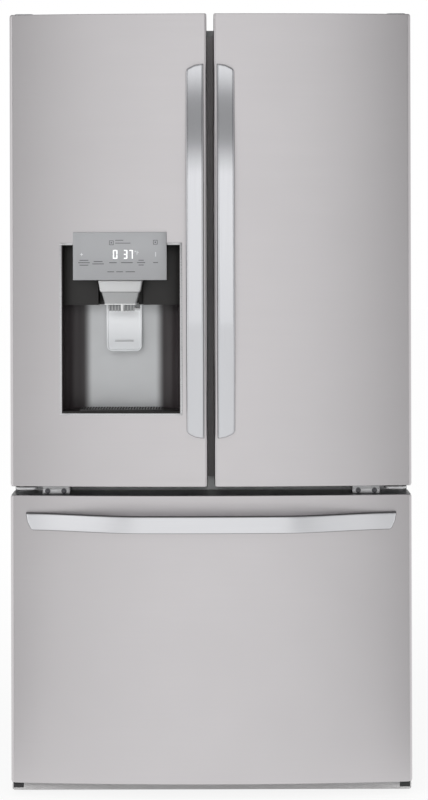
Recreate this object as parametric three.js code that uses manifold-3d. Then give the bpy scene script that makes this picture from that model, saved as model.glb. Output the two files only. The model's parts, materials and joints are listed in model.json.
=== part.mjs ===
// French-door bottom-freezer refrigerator in brushed stainless steel.
// Millimetres, +Z up, the doors face -Y. While the parts are made, Y = 0 is the
// front edge of the case and X = 0 its middle. The whole group is then shifted so
// that the origin is the middle of the overall box, on the floor.
import * as THREE from 'three';
import { mergeVertices } from 'three/addons/utils/BufferGeometryUtils.js';
import Module from 'manifold-3d';

const wasm = await Module();
wasm.setup();

// ---------- driving dimensions ----------

const SEAT = 0.3;               // gap between two parts that touch
const RUNNING = 0.5;            // gap beside a part that slides or turns

// case
const WIDTH = 908;
const CASE_DEPTH = 737;
const CASE_TOP = 1740;
const CASE_BOTTOM = 35;         // underside of the insulation, on the base pan
const SHEET = 1.5;              // case, door and base sheet
const CASE_FLANGE = 22;         // front edge of the case, folded inwards
const CASE_SIDE_PLAY = 2;       // case side behind the door side

// the two compartments
const LINER_WALL = 2.5;
const CAVITY_HALF = WIDTH / 2 - 49.5;
const CAVITY_RADIUS = 24;
const FREEZER_RADIUS = 12;
const FRESH_FLOOR = 740;
const FRESH_CEILING = CASE_TOP - 50;
const FRESH_DEPTH = CASE_DEPTH - 97;
const FREEZER_FLOOR = 95;
const FREEZER_CEILING = FRESH_FLOOR - 100;
const FREEZER_DEPTH = FRESH_DEPTH;
const STEP_DEPTH = CASE_DEPTH - 292;         // freezer floor runs this far back,
const MACHINE_ROOM_FRONT = STEP_DEPTH + 47;
const MACHINE_ROOM_TOP = 290;
const STEP_HEIGHT = MACHINE_ROOM_TOP + 45;  // then steps up over the machine room
const SIDE_BACKING = 12;        // filler behind the case sides in the machine room

// doors and freezer drawer front
const DOOR_GAP = 12;            // case front to door back, filled by the gasket
const DOOR_DEPTH = 99;          // door thickness at the middle of the appliance
const BULGE = 20;               // how far the sides of the front lie behind its middle
const DOOR_TOP = CASE_TOP + 26;
const DOOR_BOTTOM = FRESH_FLOOR - 40;
const CENTRE_GAP = 16;
const DOOR_STEPS = 6;           // facets across a door's bowed front
const DRAWER_STEPS = 12;        // facets across the drawer's bowed front
const SHELF_EDGE = 5;           // a half shelf ends this far from the middle
const DRAWER_TOP = DOOR_BOTTOM - 20;
const DRAWER_BOTTOM = CASE_BOTTOM - 5;
const SIDE_RADIUS = 8;
const CENTRE_RADIUS = 5;
const DAM_REACH = 33;           // door liner walls reach this far into the compartment
const DAM_WALL = 22;
const DAM_RADIUS = 26;
const DAM_SIDE_PLAY = 4.5;      // door liner to compartment wall
const DAM_CENTRE = 56;          // door liner to the middle, room for the folded flap
const DAM_END_PLAY = 9;
const POCKET = 13;              // door liner hollow behind the door's back plane
const GASKET_WIDTH = 16;
const GASKET_SIDE = 27;         // door side to gasket
const GASKET_CENTRE = 4;        // door's middle edge to gasket
const GASKET_END = 10;          // door top or bottom to gasket

// handles
const HANDLE_WIDTH = 39.5;
const HANDLE_THICK = 13.7;
const HANDLE_BOW = 43;
const HANDLE_RISE = 0.62;       // share of half the length over which the bar curves out
const HANDLE_END_DROP = 20;     // the far edge is this much shorter at each end
const HANDLE_TOP = DOOR_TOP - 114;
const HANDLE_BOTTOM = DOOR_BOTTOM + 110;
const HANDLE_CENTRE = 15;       // middle of the appliance to a handle's near edge
const DRAWER_HANDLE_HALF = WIDTH / 2 - 36;
const DRAWER_HANDLE_TOP = DRAWER_TOP - 38;

// hinges
const PIVOT_SIDE = 24;          // door side to hinge axis
const PIVOT_FRONT = 60;         // case front to hinge axis
const PIN_RADIUS = 5;
const PIN_DEPTH = 15;           // pin inside the door
const HINGE_PLATE = 3;
const HINGE_COVER_TOP = CASE_TOP + 32;
const MID_ARM_LOW = DOOR_BOTTOM - 9;
const MID_ARM_HIGH = DOOR_BOTTOM - 4.5;

// centre flap
const FLAP_LENGTH = 70;
const FLAP_THICK = 20;
const FLAP_PIVOT_X = 34;
const FLAP_PIVOT_Y = 8.5;
const FLAP_PIN = 3;
const FLAP_END_PLAY = 10;      // flap end to the compartment's floor or ceiling
const CATCH_HALF = 14;          // catches that swing the flap, on floor and ceiling
const CATCH_FRONT = 80;

// dispenser
const NICHE_RIGHT = -68;
const NICHE_LEFT = NICHE_RIGHT - 269;
const NICHE_BOTTOM = DOOR_BOTTOM + 165;
const NICHE_TOP = NICHE_BOTTOM + 381;
const NICHE_DEPTH = 88;
const NICHE_RADIUS = 45;
const NICHE_WALL = 2.5;
const BEZEL = 4;
const BEZEL_PROUD = 2;
const HOOD_SETBACK = 37;
const PANEL_LEFT = NICHE_LEFT + 27;
const PANEL_RIGHT = NICHE_RIGHT - 30.5;
const PANEL_TOP = NICHE_TOP + 28;
const PANEL_BOTTOM = PANEL_TOP - 108;
const HOOD_BOTTOM = PANEL_BOTTOM - 57;
const PANEL_PROUD = 6;
const CHUTE_X = NICHE_LEFT + 133;
const CHUTE_TOP_WIDTH = 100;
const CHUTE_MOUTH_WIDTH = 68;
const DUCT_WIDTH = 50;
const DUCT_DEPTH = 28;
const PADDLE_WIDTH = 79;
const PADDLE_HEIGHT = 103;
const PADDLE_THICK = 4;
const PADDLE_X = CHUTE_X + 4;
const PADDLE_PIN = 2.5;
const PADDLE_SETBACK = 58;      // door face to paddle face

// ice room in the left door
const ICE_ROOM_FLOOR = NICHE_TOP + 54;
const ICE_ROOM_CEILING = FRESH_CEILING - 30;
const ICE_ROOM_DEPTH = 58;      // behind the door's back plane
const ICE_BIN_HEIGHT = Math.round(0.528 * (ICE_ROOM_CEILING - ICE_ROOM_FLOOR));
const ICE_REACH = 88;
const AUGER_RADIUS = 26;
const AUGER_TURNS = 3;
const AUGER_SHAFT = 5;
const AUGER_DISC = 6;            // thickness of its end discs
const AUGER_BAR = 7;             // depth of its wound bar

// fresh-food fittings
const DUCT_PANEL_THICK = 6;
const LADDER_PROUD = 9;
const LADDER_WIDTH = 20;
const LADDER_PITCH = 60;
const SHELF_FRONT = 170;
const SHELF_GLASS = 5;
const SHELF_RIM = 18;
const UPPER_SHELF = FRESH_FLOOR + 670;
const LOWER_SHELF = FRESH_FLOOR + 450;
const CRISPER_COVER = FRESH_FLOOR + 245;
const CRISPER_FRONT = 148;
const CRISPER_WALL = 3;
const CRISPER_POST = 8;
const CRISPER_HEIGHT = 205;
const BIN_WALL = 3;
const BIN_REACH = 88;
const BIN_HEIGHT = 105;
const BIN_LEVELS = [35, 335, 635].map((z) => FRESH_FLOOR + z);
const LEFT_BIN_HEIGHT = 84;      // the dispenser leaves less room over this one

// freezer fittings
const RAIL_HEIGHT = 44;
const RAIL_LOW = FREEZER_CEILING - 259;
const RAIL_LENGTH = STEP_DEPTH - 17;
const RAIL_STEEL = 2;
const BASKET_FRONT = 22;
const BASKET_BACK = STEP_DEPTH - 20;
const BASKET_FLOOR = FREEZER_FLOOR + 17;
const BASKET_TOP = RAIL_LOW + 50;
const BASKET_WALL = 3;
const TRAY_FLOOR = FREEZER_CEILING - 154;
const TRAY_TOP = FREEZER_CEILING - 50;
const TRAY_BACK = FREEZER_DEPTH - 120;
const TRAY_LEDGE = FREEZER_CEILING - 100;
const TRAY_RADIUS = 6;
const COVER_FRONT = FREEZER_DEPTH - 95;        // evaporator cover
const COVER_THICK = 14;
const EVAPORATOR_TOP = FREEZER_CEILING - 125;
const EVAPORATOR_FAN_Z = FREEZER_CEILING - 60;
const EVAPORATOR_FAN_RADIUS = 46;
const EVAPORATOR_FAN_SHAFT = 2.5;
const FAN_DEPTH = 22;
const FAN_NOSE = 4;             // closed end of a fan's hub

// base and machine room
const BASE_SHEET = 4;
const KICK_FRONT = 75;          // kick strip ahead of the case
const KICK_BOTTOM = 3;
const KICK_TOP = 27;
const LEG_X = WIDTH / 2 - 16;
const LEG_Y = 22;
const LEG_RADIUS = 5;
const FOOT_RADIUS = 13;
const ROLLER_X = WIDTH / 2 - 54;
const ROLLER_Y = CASE_DEPTH - 47;
const ROLLER_RADIUS = 19;
const ROLLER_WIDTH = 22;
const ROLLER_AXLE = 4;
const COMPRESSOR_X = -WIDTH / 2 + 199;
const COMPRESSOR_Y = CASE_DEPTH - 119;
const COMPRESSOR_RADIUS = 82;
const COMPRESSOR_HEIGHT = 165;
const CONDENSER_RIGHT = WIDTH / 2 - 124;
const CONDENSER_LEFT = CONDENSER_RIGHT - 260;
const MACHINE_FAN_X = CONDENSER_LEFT - 62;
const MACHINE_FAN_RADIUS = 72;
const MACHINE_FAN_Z = CASE_BOTTOM + 97;
const MACHINE_FAN_SHAFT = 3;

// ---------- values that follow ----------

const HALF = WIDTH / 2;
const CASE_HALF = HALF - CASE_SIDE_PLAY;
const FRONT = DOOR_GAP + DOOR_DEPTH;
const BULGE_RADIUS = (HALF ** 2 + BULGE ** 2) / (2 * BULGE);
const BULGE_CENTRE = BULGE_RADIUS - FRONT;
const CENTRE_HALF = CENTRE_GAP / 2;
const PIVOT_X = HALF - PIVOT_SIDE;
const DIVIDER_MIDDLE = (FREEZER_CEILING + FRESH_FLOOR) / 2;
const SHELL_OUT = LINER_WALL + SEAT;
const DAM_SIDE = CAVITY_HALF - DAM_SIDE_PLAY;
const BACK_GAP = -DOOR_GAP;

// ---------- finishes ----------

function finish(color, roughness, metalness = 0) {
  return new THREE.MeshStandardMaterial({ color, roughness, metalness });
}

const STEEL = () => finish(0xc8c7c8, 0.34, 1);
const POLISHED = () => finish(0xd9dadc, 0.22, 1);
const CASE_PAINT = () => finish(0x8d8e90, 0.5, 0.2);
const GALVANISED = () => finish(0xa9adb0, 0.45, 0.8);
const WHITE = () => finish(0xeceded, 0.4);
const LIGHT_GREY = () => finish(0xbfc1c3, 0.45);
const MID_GREY = () => finish(0x8f9193, 0.5);
const DARK = () => finish(0x2b2b2d, 0.55);
const SEAL = () => finish(0x3c3c3e, 0.7);
const FOAM = () => finish(0xe4d9b8, 0.9);
const CLEAR = () => finish(0xdfe7ea, 0.1);
const BLACK_METAL = () => finish(0x1f2022, 0.45, 0.3);
const COPPER = () => finish(0xb87348, 0.35, 0.9);

// ---------- solids ----------

const AXES = {
  x: [new THREE.Vector3(0, 1, 0), new THREE.Vector3(0, 0, 1), new THREE.Vector3(1, 0, 0)],
  y: [new THREE.Vector3(0, 0, 1), new THREE.Vector3(1, 0, 0), new THREE.Vector3(0, 1, 0)],
  z: [new THREE.Vector3(1, 0, 0), new THREE.Vector3(0, 1, 0), new THREE.Vector3(0, 0, 1)],
};

function toSolid(geometry) {
  geometry.deleteAttribute('normal');
  geometry.deleteAttribute('uv');
  const merged = mergeVertices(geometry, 1e-4);
  return new wasm.Manifold(new wasm.Mesh({
    numProp: 3,
    vertProperties: new Float32Array(merged.attributes.position.array),
    triVerts: new Uint32Array(merged.index.array),
  }));
}

function toGeometry(solid) {
  const mesh = solid.getMesh();
  const geometry = new THREE.BufferGeometry();
  geometry.setAttribute('position', new THREE.BufferAttribute(mesh.vertProperties, 3));
  geometry.setIndex(new THREE.BufferAttribute(mesh.triVerts, 1));
  geometry.computeVertexNormals();
  return geometry;
}

const join = (first, ...rest) => rest.reduce((a, b) => a.add(b), first);
const cut = (first, ...rest) => rest.reduce((a, b) => a.subtract(b), first);

// A box between two values along each axis, in either order.
function block(xs, ys, zs) {
  const size = [xs, ys, zs].map(([a, b]) => Math.abs(b - a));
  const middle = [xs, ys, zs].map(([a, b]) => (a + b) / 2);
  return toSolid(new THREE.BoxGeometry(...size).translate(...middle));
}

// An outline drawn in the plane across an axis and carried along it. The outline's
// points are [y, z] for x, [x, z] for y and [x, y] for z.
function prism(axis, points, from, to) {
  const flat = axis === 'y' ? points.map(([x, z]) => [z, x]) : points;
  const shape = new THREE.Shape(flat.map(([u, v]) => new THREE.Vector2(u, v)));
  const geometry = new THREE.ExtrudeGeometry(shape, { depth: to - from, bevelEnabled: false });
  geometry.translate(0, 0, from);
  geometry.applyMatrix4(new THREE.Matrix4().makeBasis(...AXES[axis]));
  return toSolid(geometry);
}

function arc(cx, cy, radius, start, end, steps) {
  const points = [];
  for (let i = 0; i <= steps; i++) {
    const angle = start + (end - start) * i / steps;
    points.push([cx + radius * Math.cos(angle), cy + radius * Math.sin(angle)]);
  }
  return points;
}

function roundRect([u0, u1], [v0, v1], radius, steps = 3) {
  const q = Math.PI / 2;
  return [
    ...arc(u1 - radius, v0 + radius, radius, -q, 0, steps),
    ...arc(u1 - radius, v1 - radius, radius, 0, q, steps),
    ...arc(u0 + radius, v1 - radius, radius, q, 2 * q, steps),
    ...arc(u0 + radius, v0 + radius, radius, 2 * q, 3 * q, steps),
  ];
}

// A cylinder along an axis; the centre is given as for a prism's points.
function rod(axis, centre, radius, from, to, steps = 16) {
  return prism(axis, arc(...centre, radius, 0, 2 * Math.PI * (1 - 1 / steps), steps - 1), from, to);
}

// A skin through rings of the same number of points, closed by a cap at each end.
function loft(rings) {
  const count = rings[0].length;
  const last = (rings.length - 1) * count;
  const index = [];
  for (let r = 0; r < rings.length - 1; r++) {
    for (let i = 0; i < count; i++) {
      const a = r * count + i;
      const b = r * count + (i + 1) % count;
      index.push(a, b, b + count, a, b + count, a + count);
    }
  }
  for (let i = 1; i < count - 1; i++) {
    index.push(0, i + 1, i, last, last + i, last + i + 1);
  }
  const position = rings.flat(2);
  if (enclosedVolume(position, index) < 0) {
    index.reverse();
  }
  const geometry = new THREE.BufferGeometry();
  geometry.setAttribute('position', new THREE.Float32BufferAttribute(position, 3));
  geometry.setIndex(index);
  return toSolid(geometry);
}

function enclosedVolume(position, index) {
  const corners = [0, 1, 2].map(() => new THREE.Vector3());
  let sum = 0;
  for (let i = 0; i < index.length; i += 3) {
    corners.forEach((corner, k) => corner.fromArray(position, 3 * index[i + k]));
    sum += corners[0].dot(corners[1].clone().cross(corners[2])) / 6;
  }
  return sum;
}

const rectangleRing = ([x0, x1], [y0, y1], z) => [[x0, y0, z], [x1, y0, z], [x1, y1, z], [x0, y1, z]];

// A revolved profile of [radius, height] points that starts and ends on the axis.
function revolve(profile, steps, [x, y, z]) {
  const points = profile.map(([r, h]) => new THREE.Vector2(r, h));
  const geometry = new THREE.LatheGeometry(points, steps).rotateX(Math.PI / 2).translate(x, y, z);
  return toSolid(geometry);
}

const sided = (side, a, b) => side > 0 ? [a, b] : [-b, -a];

// An open-topped box with rounded upright corners.
function tray(xs, ys, [low, high], wall, radius) {
  const inner = ([a, b]) => [a + wall, b - wall];
  return cut(
    prism('z', roundRect(xs, ys, radius), low, high),
    prism('z', roundRect(inner(xs), inner(ys), radius - wall), low + wall, high + 1),
  );
}

// ---------- the curved front ----------

// Y of the front's curve at x, moved out from the face by an offset.
const frontY = (x, offset = 0) => BULGE_CENTRE - Math.sqrt((BULGE_RADIUS + offset) ** 2 - x ** 2);

function frontArc(x0, x1, offset, steps) {
  const radius = BULGE_RADIUS + offset;
  const angle = (x) => Math.acos(x / radius) * -1;
  return arc(0, BULGE_CENTRE, radius, angle(x0), angle(x1), steps);
}

// Outline of a door seen from above, set in from the outer face by an inset.
function frontOutline([x0, x1], [leftRadius, rightRadius], inset, backY, steps) {
  const left = x0 + inset;
  const right = x1 - inset;
  const filletAt = (x, radius) => {
    const reach = BULGE_RADIUS - inset - radius;
    const y = BULGE_CENTRE - Math.sqrt(reach ** 2 - x ** 2);
    return { x, y, radius, angle: Math.atan2(y - BULGE_CENTRE, x) };
  };
  const a = filletAt(left + leftRadius - inset, leftRadius - inset);
  const b = filletAt(right - rightRadius + inset, rightRadius - inset);
  return [
    [left, backY],
    ...arc(a.x, a.y, a.radius, -Math.PI, a.angle, 4),
    ...arc(0, BULGE_CENTRE, BULGE_RADIUS - inset, a.angle, b.angle, steps).slice(1, -1),
    ...arc(b.x, b.y, b.radius, b.angle, 0, 4),
    [right, backY],
  ];
}

// A band that follows the front's curve between two offsets from the face.
function frontBand([x0, x1], [low, high], [z0, z1], steps = 6) {
  const outline = [...frontArc(x0, x1, high, steps), ...frontArc(x0, x1, low, steps).reverse()];
  return prism('z', outline, z0, z1);
}

function doorSkin(xs, radii, [z0, z1], steps) {
  return cut(
    prism('z', frontOutline(xs, radii, 0, BACK_GAP, steps), z0, z1),
    prism('z', frontOutline(xs, radii, SHEET, BACK_GAP + 1, steps), z0 - 1, z1 + 1),
  );
}

function doorCore(xs, radii, [z0, z1], steps) {
  return prism('z', frontOutline(xs, radii, SHEET + SEAT, BACK_GAP, steps), z0, z1);
}

function ringFrame(xs, zs, ys, width) {
  const inner = ([a, b]) => [a + width, b - width];
  return cut(block(xs, ys, zs), block(inner(xs), [ys[0] - 1, ys[1] + 1], inner(zs)));
}

// A hollow magnetic seal: a wide foot on the door and a narrower lip towards the case.
function gasket(xs, zs) {
  const shrink = ([a, b], by) => [a + by, b - by];
  const middle = BACK_GAP + 5;
  return join(
    ringFrame(xs, zs, [BACK_GAP + SEAT, middle], GASKET_WIDTH),
    ringFrame(shrink(xs, 2), shrink(zs, 2), [middle, -SEAT], GASKET_WIDTH - 4),
  );
}

// ---------- handles ----------

const smooth = (t) => {
  const u = Math.min(Math.max(t, 0), 1);
  return u * u * (3 - 2 * u);
};

// A flat bar that lies on the door at both ends and bows out between them. It runs
// along s, from -half to half, and across w; place() turns s, w and the distance
// from the door's face into a point.
function bowHandle(half, place) {
  const across = [0, 0.08, 0.4, 0.75, 0.94, 1];
  const crown = [0.62, 0.9, 1, 1, 0.88, 0.6];
  const stations = 16;
  const rings = [];
  for (let i = 0; i <= stations; i++) {
    const t = 2 * i / stations - 1;
    const bow = SEAT + HANDLE_BOW * smooth((1 - Math.abs(t)) / HANDLE_RISE);
    const front = across.map((w, k) => [w, bow + (HANDLE_THICK - SEAT) * crown[k]]);
    const back = across.map((w) => [w, bow]).reverse();
    rings.push([...front, ...back].map(([w, out]) => {
      const reach = half - HANDLE_END_DROP * (1 - Math.sqrt(1 - w ** 2 * 0.98));
      return place(t * reach, w * HANDLE_WIDTH, out);
    }));
  }
  return loft(rings);
}

function doorHandle(side) {
  const middle = (HANDLE_TOP + HANDLE_BOTTOM) / 2;
  const face = frontY(HANDLE_CENTRE);
  return bowHandle((HANDLE_TOP - HANDLE_BOTTOM) / 2, (s, w, out) => [
    side * (HANDLE_CENTRE + w), face - out, middle + s,
  ]);
}

const drawerHandle = () => bowHandle(DRAWER_HANDLE_HALF, (s, w, out) => [
  s, frontY(s) - out, DRAWER_HANDLE_TOP - w,
]);

// ---------- case, insulation and liner ----------

function outerCase() {
  const sides = [-CASE_HALF, CASE_HALF];
  const inner = [-CASE_HALF + SHEET, CASE_HALF - SHEET];
  const mouth = [-CASE_HALF + CASE_FLANGE, CASE_HALF - CASE_FLANGE];
  return cut(
    block(sides, [0, CASE_DEPTH - SHEET - SEAT], [CASE_BOTTOM, CASE_TOP]),
    block(inner, [SHEET, CASE_DEPTH + 1], [CASE_BOTTOM - 1, CASE_TOP - SHEET]),
    block(mouth, [-1, SHEET + 1], [CASE_BOTTOM - 1, CASE_TOP - CASE_FLANGE]),
  );
}

const cavityOutline = (low, high, radius, grow) => roundRect(
  [-CAVITY_HALF - grow, CAVITY_HALF + grow], [low - grow, high + grow], radius + grow, 4,
);

const freshSpace = (grow, front) => prism(
  'y', cavityOutline(FRESH_FLOOR, FRESH_CEILING, CAVITY_RADIUS, grow), front, FRESH_DEPTH + grow,
);

// The freezer space has a step at the back, over the machine room.
function freezerSpace(grow, front) {
  const depth = FREEZER_DEPTH + grow;
  const outline = cavityOutline(FREEZER_FLOOR, FREEZER_CEILING, FREEZER_RADIUS, grow);
  const space = prism('y', outline, front, depth);
  const reach = CAVITY_HALF + grow + 1;
  const step = [
    [STEP_DEPTH + grow, FREEZER_FLOOR - grow - 1],
    [STEP_DEPTH + grow, STEP_HEIGHT - grow - 30],
    [STEP_DEPTH + grow + 30, STEP_HEIGHT - grow],
    [depth + 1, STEP_HEIGHT - grow],
    [depth + 1, FREEZER_FLOOR - grow - 1],
  ];
  return cut(space, prism('x', step, -reach, reach));
}

function innerLiner() {
  const half = CASE_HALF - CASE_FLANGE - SEAT;
  const face = block([-half, half], [0, LINER_WALL], [CASE_BOTTOM + SEAT, CASE_TOP - CASE_FLANGE - SEAT]);
  const shell = cut(
    join(face, freshSpace(LINER_WALL, 0), freezerSpace(LINER_WALL, 0)),
    freshSpace(0, -1),
    freezerSpace(0, -1),
  );
  const ledges = [-1, 1].flatMap((side) => [
    block(sided(side, CAVITY_HALF - 12, CAVITY_HALF + 1), [SHELF_FRONT - 10, FRESH_DEPTH - 40],
      [CRISPER_COVER - 14, CRISPER_COVER - SEAT]),
    block(sided(side, CAVITY_HALF - 12, CAVITY_HALF + 1), [25, TRAY_BACK], [TRAY_LEDGE - 10, TRAY_LEDGE]),
  ]);
  const catches = [FRESH_CEILING - 6, FRESH_FLOOR].map((z) => block(
    [-CATCH_HALF, CATCH_HALF], [CATCH_FRONT, CATCH_FRONT + 20], [z - 1, z + 7],
  ));
  return join(shell, ...ledges, ...catches);
}

function cabinetFoam() {
  const half = CASE_HALF - SHEET - SEAT;
  const back = CASE_DEPTH - SHEET - 2 * SEAT;
  const body = block([-half, half], [SHEET + SEAT, back], [CASE_BOTTOM + SEAT, CASE_TOP - SHEET - SEAT]);
  const face = CASE_HALF - CASE_FLANGE;
  return cut(
    body,
    block([-face, face], [0, LINER_WALL + SEAT], [0, CASE_TOP - CASE_FLANGE]),
    freshSpace(SHELL_OUT, 0),
    freezerSpace(SHELL_OUT, 0),
    block([-half + SIDE_BACKING, half - SIDE_BACKING], [MACHINE_ROOM_FRONT, CASE_DEPTH],
      [0, MACHINE_ROOM_TOP]),
  );
}

function rearPanel() {
  const y = CASE_DEPTH - SHEET;
  const bottom = MACHINE_ROOM_TOP + SEAT;
  const panel = block([-CASE_HALF, CASE_HALF], [y, CASE_DEPTH], [bottom, CASE_TOP]);
  const beads = [-1, 1].map((side) => prism(
    'y', roundRect(sided(side, 60, CASE_HALF - 60), [bottom + 90, CASE_TOP - 90], 40),
    CASE_DEPTH - 0.6, CASE_DEPTH + 1,
  ));
  return cut(panel, ...beads);
}

// Slotted cover over the machine room.
function machineCover() {
  const low = CASE_BOTTOM + SEAT;
  const high = MACHINE_ROOM_TOP;
  const half = CASE_HALF - SHEET - SEAT;
  let cover = block([-half, half], [CASE_DEPTH - SHEET, CASE_DEPTH], [low, high]);
  const pitch = (2 * CASE_HALF - 104) / 4;
  const columns = [-1.5, -0.5, 0.5, 1.5].map((k) => k * pitch);
  const rows = 7;
  for (const x of columns) {
    for (let i = 0; i < rows; i++) {
      const z = low + 30 + i * (high - low - 60) / (rows - 1);
      cover = cut(cover, block([x - 0.35 * pitch, x + 0.35 * pitch], [CASE_DEPTH - 3, CASE_DEPTH + 1], [z - 4, z + 4]));
    }
  }
  return cover;
}

// ---------- base, legs and rollers ----------

function basePan() {
  const half = CASE_HALF;
  const low = CASE_BOTTOM - BASE_SHEET;
  const top = CASE_BOTTOM - SEAT;
  const post = MACHINE_FAN_X - 30;
  const fanCentre = [COMPRESSOR_Y, MACHINE_FAN_Z];
  const shaftEnd = MACHINE_FAN_X + FAN_DEPTH - FAN_NOSE - SEAT;
  const parts = [block([-half, half], [2, CASE_DEPTH - 4], [low, top])];
  parts.push(block([-HALF + 124, HALF - 124], [MACHINE_ROOM_FRONT + 12, MACHINE_ROOM_FRONT + 15], [low, top + 22]));
  parts.push(block([post - 4, post], [COMPRESSOR_Y - 22, COMPRESSOR_Y + 22], [low, MACHINE_FAN_Z + 22]));
  parts.push(rod('x', fanCentre, 20, post - 1, MACHINE_FAN_X - 3, 14));
  parts.push(rod('x', fanCentre, MACHINE_FAN_SHAFT, post, shaftEnd, 10));
  for (const side of [-1, 1]) {
    for (const x of [ROLLER_X - ROLLER_WIDTH / 2 - RUNNING - 3, ROLLER_X + ROLLER_WIDTH / 2 + RUNNING]) {
      const ear = [
        [ROLLER_Y - 20, low + 1], [ROLLER_Y - 9, ROLLER_RADIUS - 8],
        [ROLLER_Y + 9, ROLLER_RADIUS - 8], [ROLLER_Y + 20, low + 1],
      ];
      parts.push(prism('x', ear, ...sided(side, x, x + 3)));
    }
    parts.push(rod('z', [side * LEG_X, LEG_Y], LEG_RADIUS + 5, low - 4, top, 14));
  }
  const holes = [-1, 1].flatMap((side) => [
    rod('z', [side * LEG_X, LEG_Y], LEG_RADIUS + SEAT, low - 5, top + 1, 14),
    rod('x', [ROLLER_Y, ROLLER_RADIUS], ROLLER_AXLE + SEAT,
      ...sided(side, ROLLER_X - 30, ROLLER_X + 30), 14),
    block(
      sided(side, ROLLER_X - ROLLER_WIDTH / 2 - RUNNING, ROLLER_X + ROLLER_WIDTH / 2 + RUNNING),
      [ROLLER_Y - ROLLER_RADIUS - 2, ROLLER_Y + ROLLER_RADIUS + 2], [low - 5, top + 6],
    ),
  ]);
  return cut(join(...parts), ...holes);
}

function levellingLeg(side) {
  const low = CASE_BOTTOM - BASE_SHEET - 4;
  const shank = rod('z', [side * LEG_X, LEG_Y], LEG_RADIUS, 5, CASE_BOTTOM - SEAT - 1, 14);
  const foot = rod('z', [side * LEG_X, LEG_Y], FOOT_RADIUS, 0, 9, 6);
  const collar = rod('z', [side * LEG_X, LEG_Y], LEG_RADIUS + 4, 8, low - SEAT, 14);
  return join(shank, foot, collar);
}

function roller(side) {
  const tyre = rod('x', [ROLLER_Y, ROLLER_RADIUS], ROLLER_RADIUS, ...sided(
    side, ROLLER_X - ROLLER_WIDTH / 2, ROLLER_X + ROLLER_WIDTH / 2,
  ), 28);
  const reach = ROLLER_WIDTH / 2 + RUNNING + 3;
  const axle = rod('x', [ROLLER_Y, ROLLER_RADIUS], ROLLER_AXLE,
    ...sided(side, ROLLER_X - reach, ROLLER_X + reach), 14);
  return join(tyre, axle);
}

// Grey strip under the drawer, with an access notch at each levelling leg.
function kickStrip() {
  const front = -KICK_FRONT;
  const outline = roundRect([-HALF + 1, HALF - 1], [KICK_BOTTOM, KICK_TOP], 6);
  const face = prism('y', outline, front, front + 3);
  const flange = block([-HALF + 8, HALF - 8], [front + 1, 16], [KICK_TOP - 3, KICK_TOP - 1]);
  const tabs = [-1, 0, 1].map((side) => side * (HALF - 134)).map((x) =>
    block([x - 20, x + 20], [3, 16], [KICK_TOP - 2, CASE_BOTTOM - BASE_SHEET - SEAT]));
  const notches = [-1, 1].map((side) => block(
    sided(side, HALF - 27, HALF - 4), [front - 1, front + 4], [KICK_BOTTOM + 4, KICK_TOP - 4],
  ));
  const clearance = [-1, 1].map((side) =>
    rod('z', [side * LEG_X, LEG_Y], FOOT_RADIUS + 3, 0, KICK_TOP + 5, 14));
  return cut(join(face, flange, ...tabs), ...notches, ...clearance);
}

// ---------- machine room ----------

function compressor() {
  const r = COMPRESSOR_RADIUS;
  const h = COMPRESSOR_HEIGHT;
  const profile = [
    [0, 0], [r * 0.62, 0], [r * 0.9, 14], [r * 0.98, 34], [r * 0.98, h * 0.47], [r * 1.04, h * 0.47],
    [r * 1.04, h * 0.51], [r * 0.97, h * 0.51], [r * 0.95, h * 0.74],
    [r * 0.72, h * 0.93], [r * 0.34, h], [0, h],
  ];
  const base = CASE_BOTTOM + 12;
  const dome = revolve(profile, 20, [COMPRESSOR_X, COMPRESSOR_Y, base]);
  const plate = prism('z', roundRect(
    [COMPRESSOR_X - 105, COMPRESSOR_X + 105], [COMPRESSOR_Y - 78, COMPRESSOR_Y + 78], 14,
  ), base - 4, base + 1);
  const feet = [];
  for (const dx of [-90, 90]) {
    for (const dy of [-62, 62]) {
      feet.push(rod('z', [COMPRESSOR_X + dx, COMPRESSOR_Y + dy], 11, CASE_BOTTOM, base - 1, 12));
    }
  }
  const terminal = block([COMPRESSOR_X + 60, COMPRESSOR_X + 108],
    [COMPRESSOR_Y - 28, COMPRESSOR_Y + 28], [base + 40, base + 95]);
  const pipes = [-30, 12].map((dy) =>
    rod('x', [COMPRESSOR_Y + dy, base + 70], 5, COMPRESSOR_X - 112, COMPRESSOR_X, 10));
  return join(dome, plate, terminal, ...feet, ...pipes);
}

// Fins pressed on a flat web of tubes, with the tubes' ends standing out of it.
function finnedCoil([x0, x1], [y0, y1], zs, fins, tubes) {
  const pitch = (x1 - x0) / fins;
  const middle = (y0 + y1) / 2;
  let coil = block([x0, x1], [y0, y1], zs);
  for (let i = 0; i < fins; i++) {
    const gap = [x0 + i * pitch + 2, x0 + (i + 1) * pitch];
    const slot = [zs[0] - 1, zs[1] + 1];
    coil = cut(coil, block(gap, [y0 - 1, middle - 5], slot), block(gap, [middle + 5, y1 + 1], slot));
  }
  for (let i = 0; i < tubes; i++) {
    const z = zs[0] + (zs[1] - zs[0]) * (i + 0.5) / tubes;
    coil = join(coil, rod('x', [middle, z], 4.5, x0 - 12, x0 + 1, 8),
      rod('x', [middle, z], 4.5, x1 - 3, x1 + 12, 8));
  }
  return coil;
}

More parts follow.
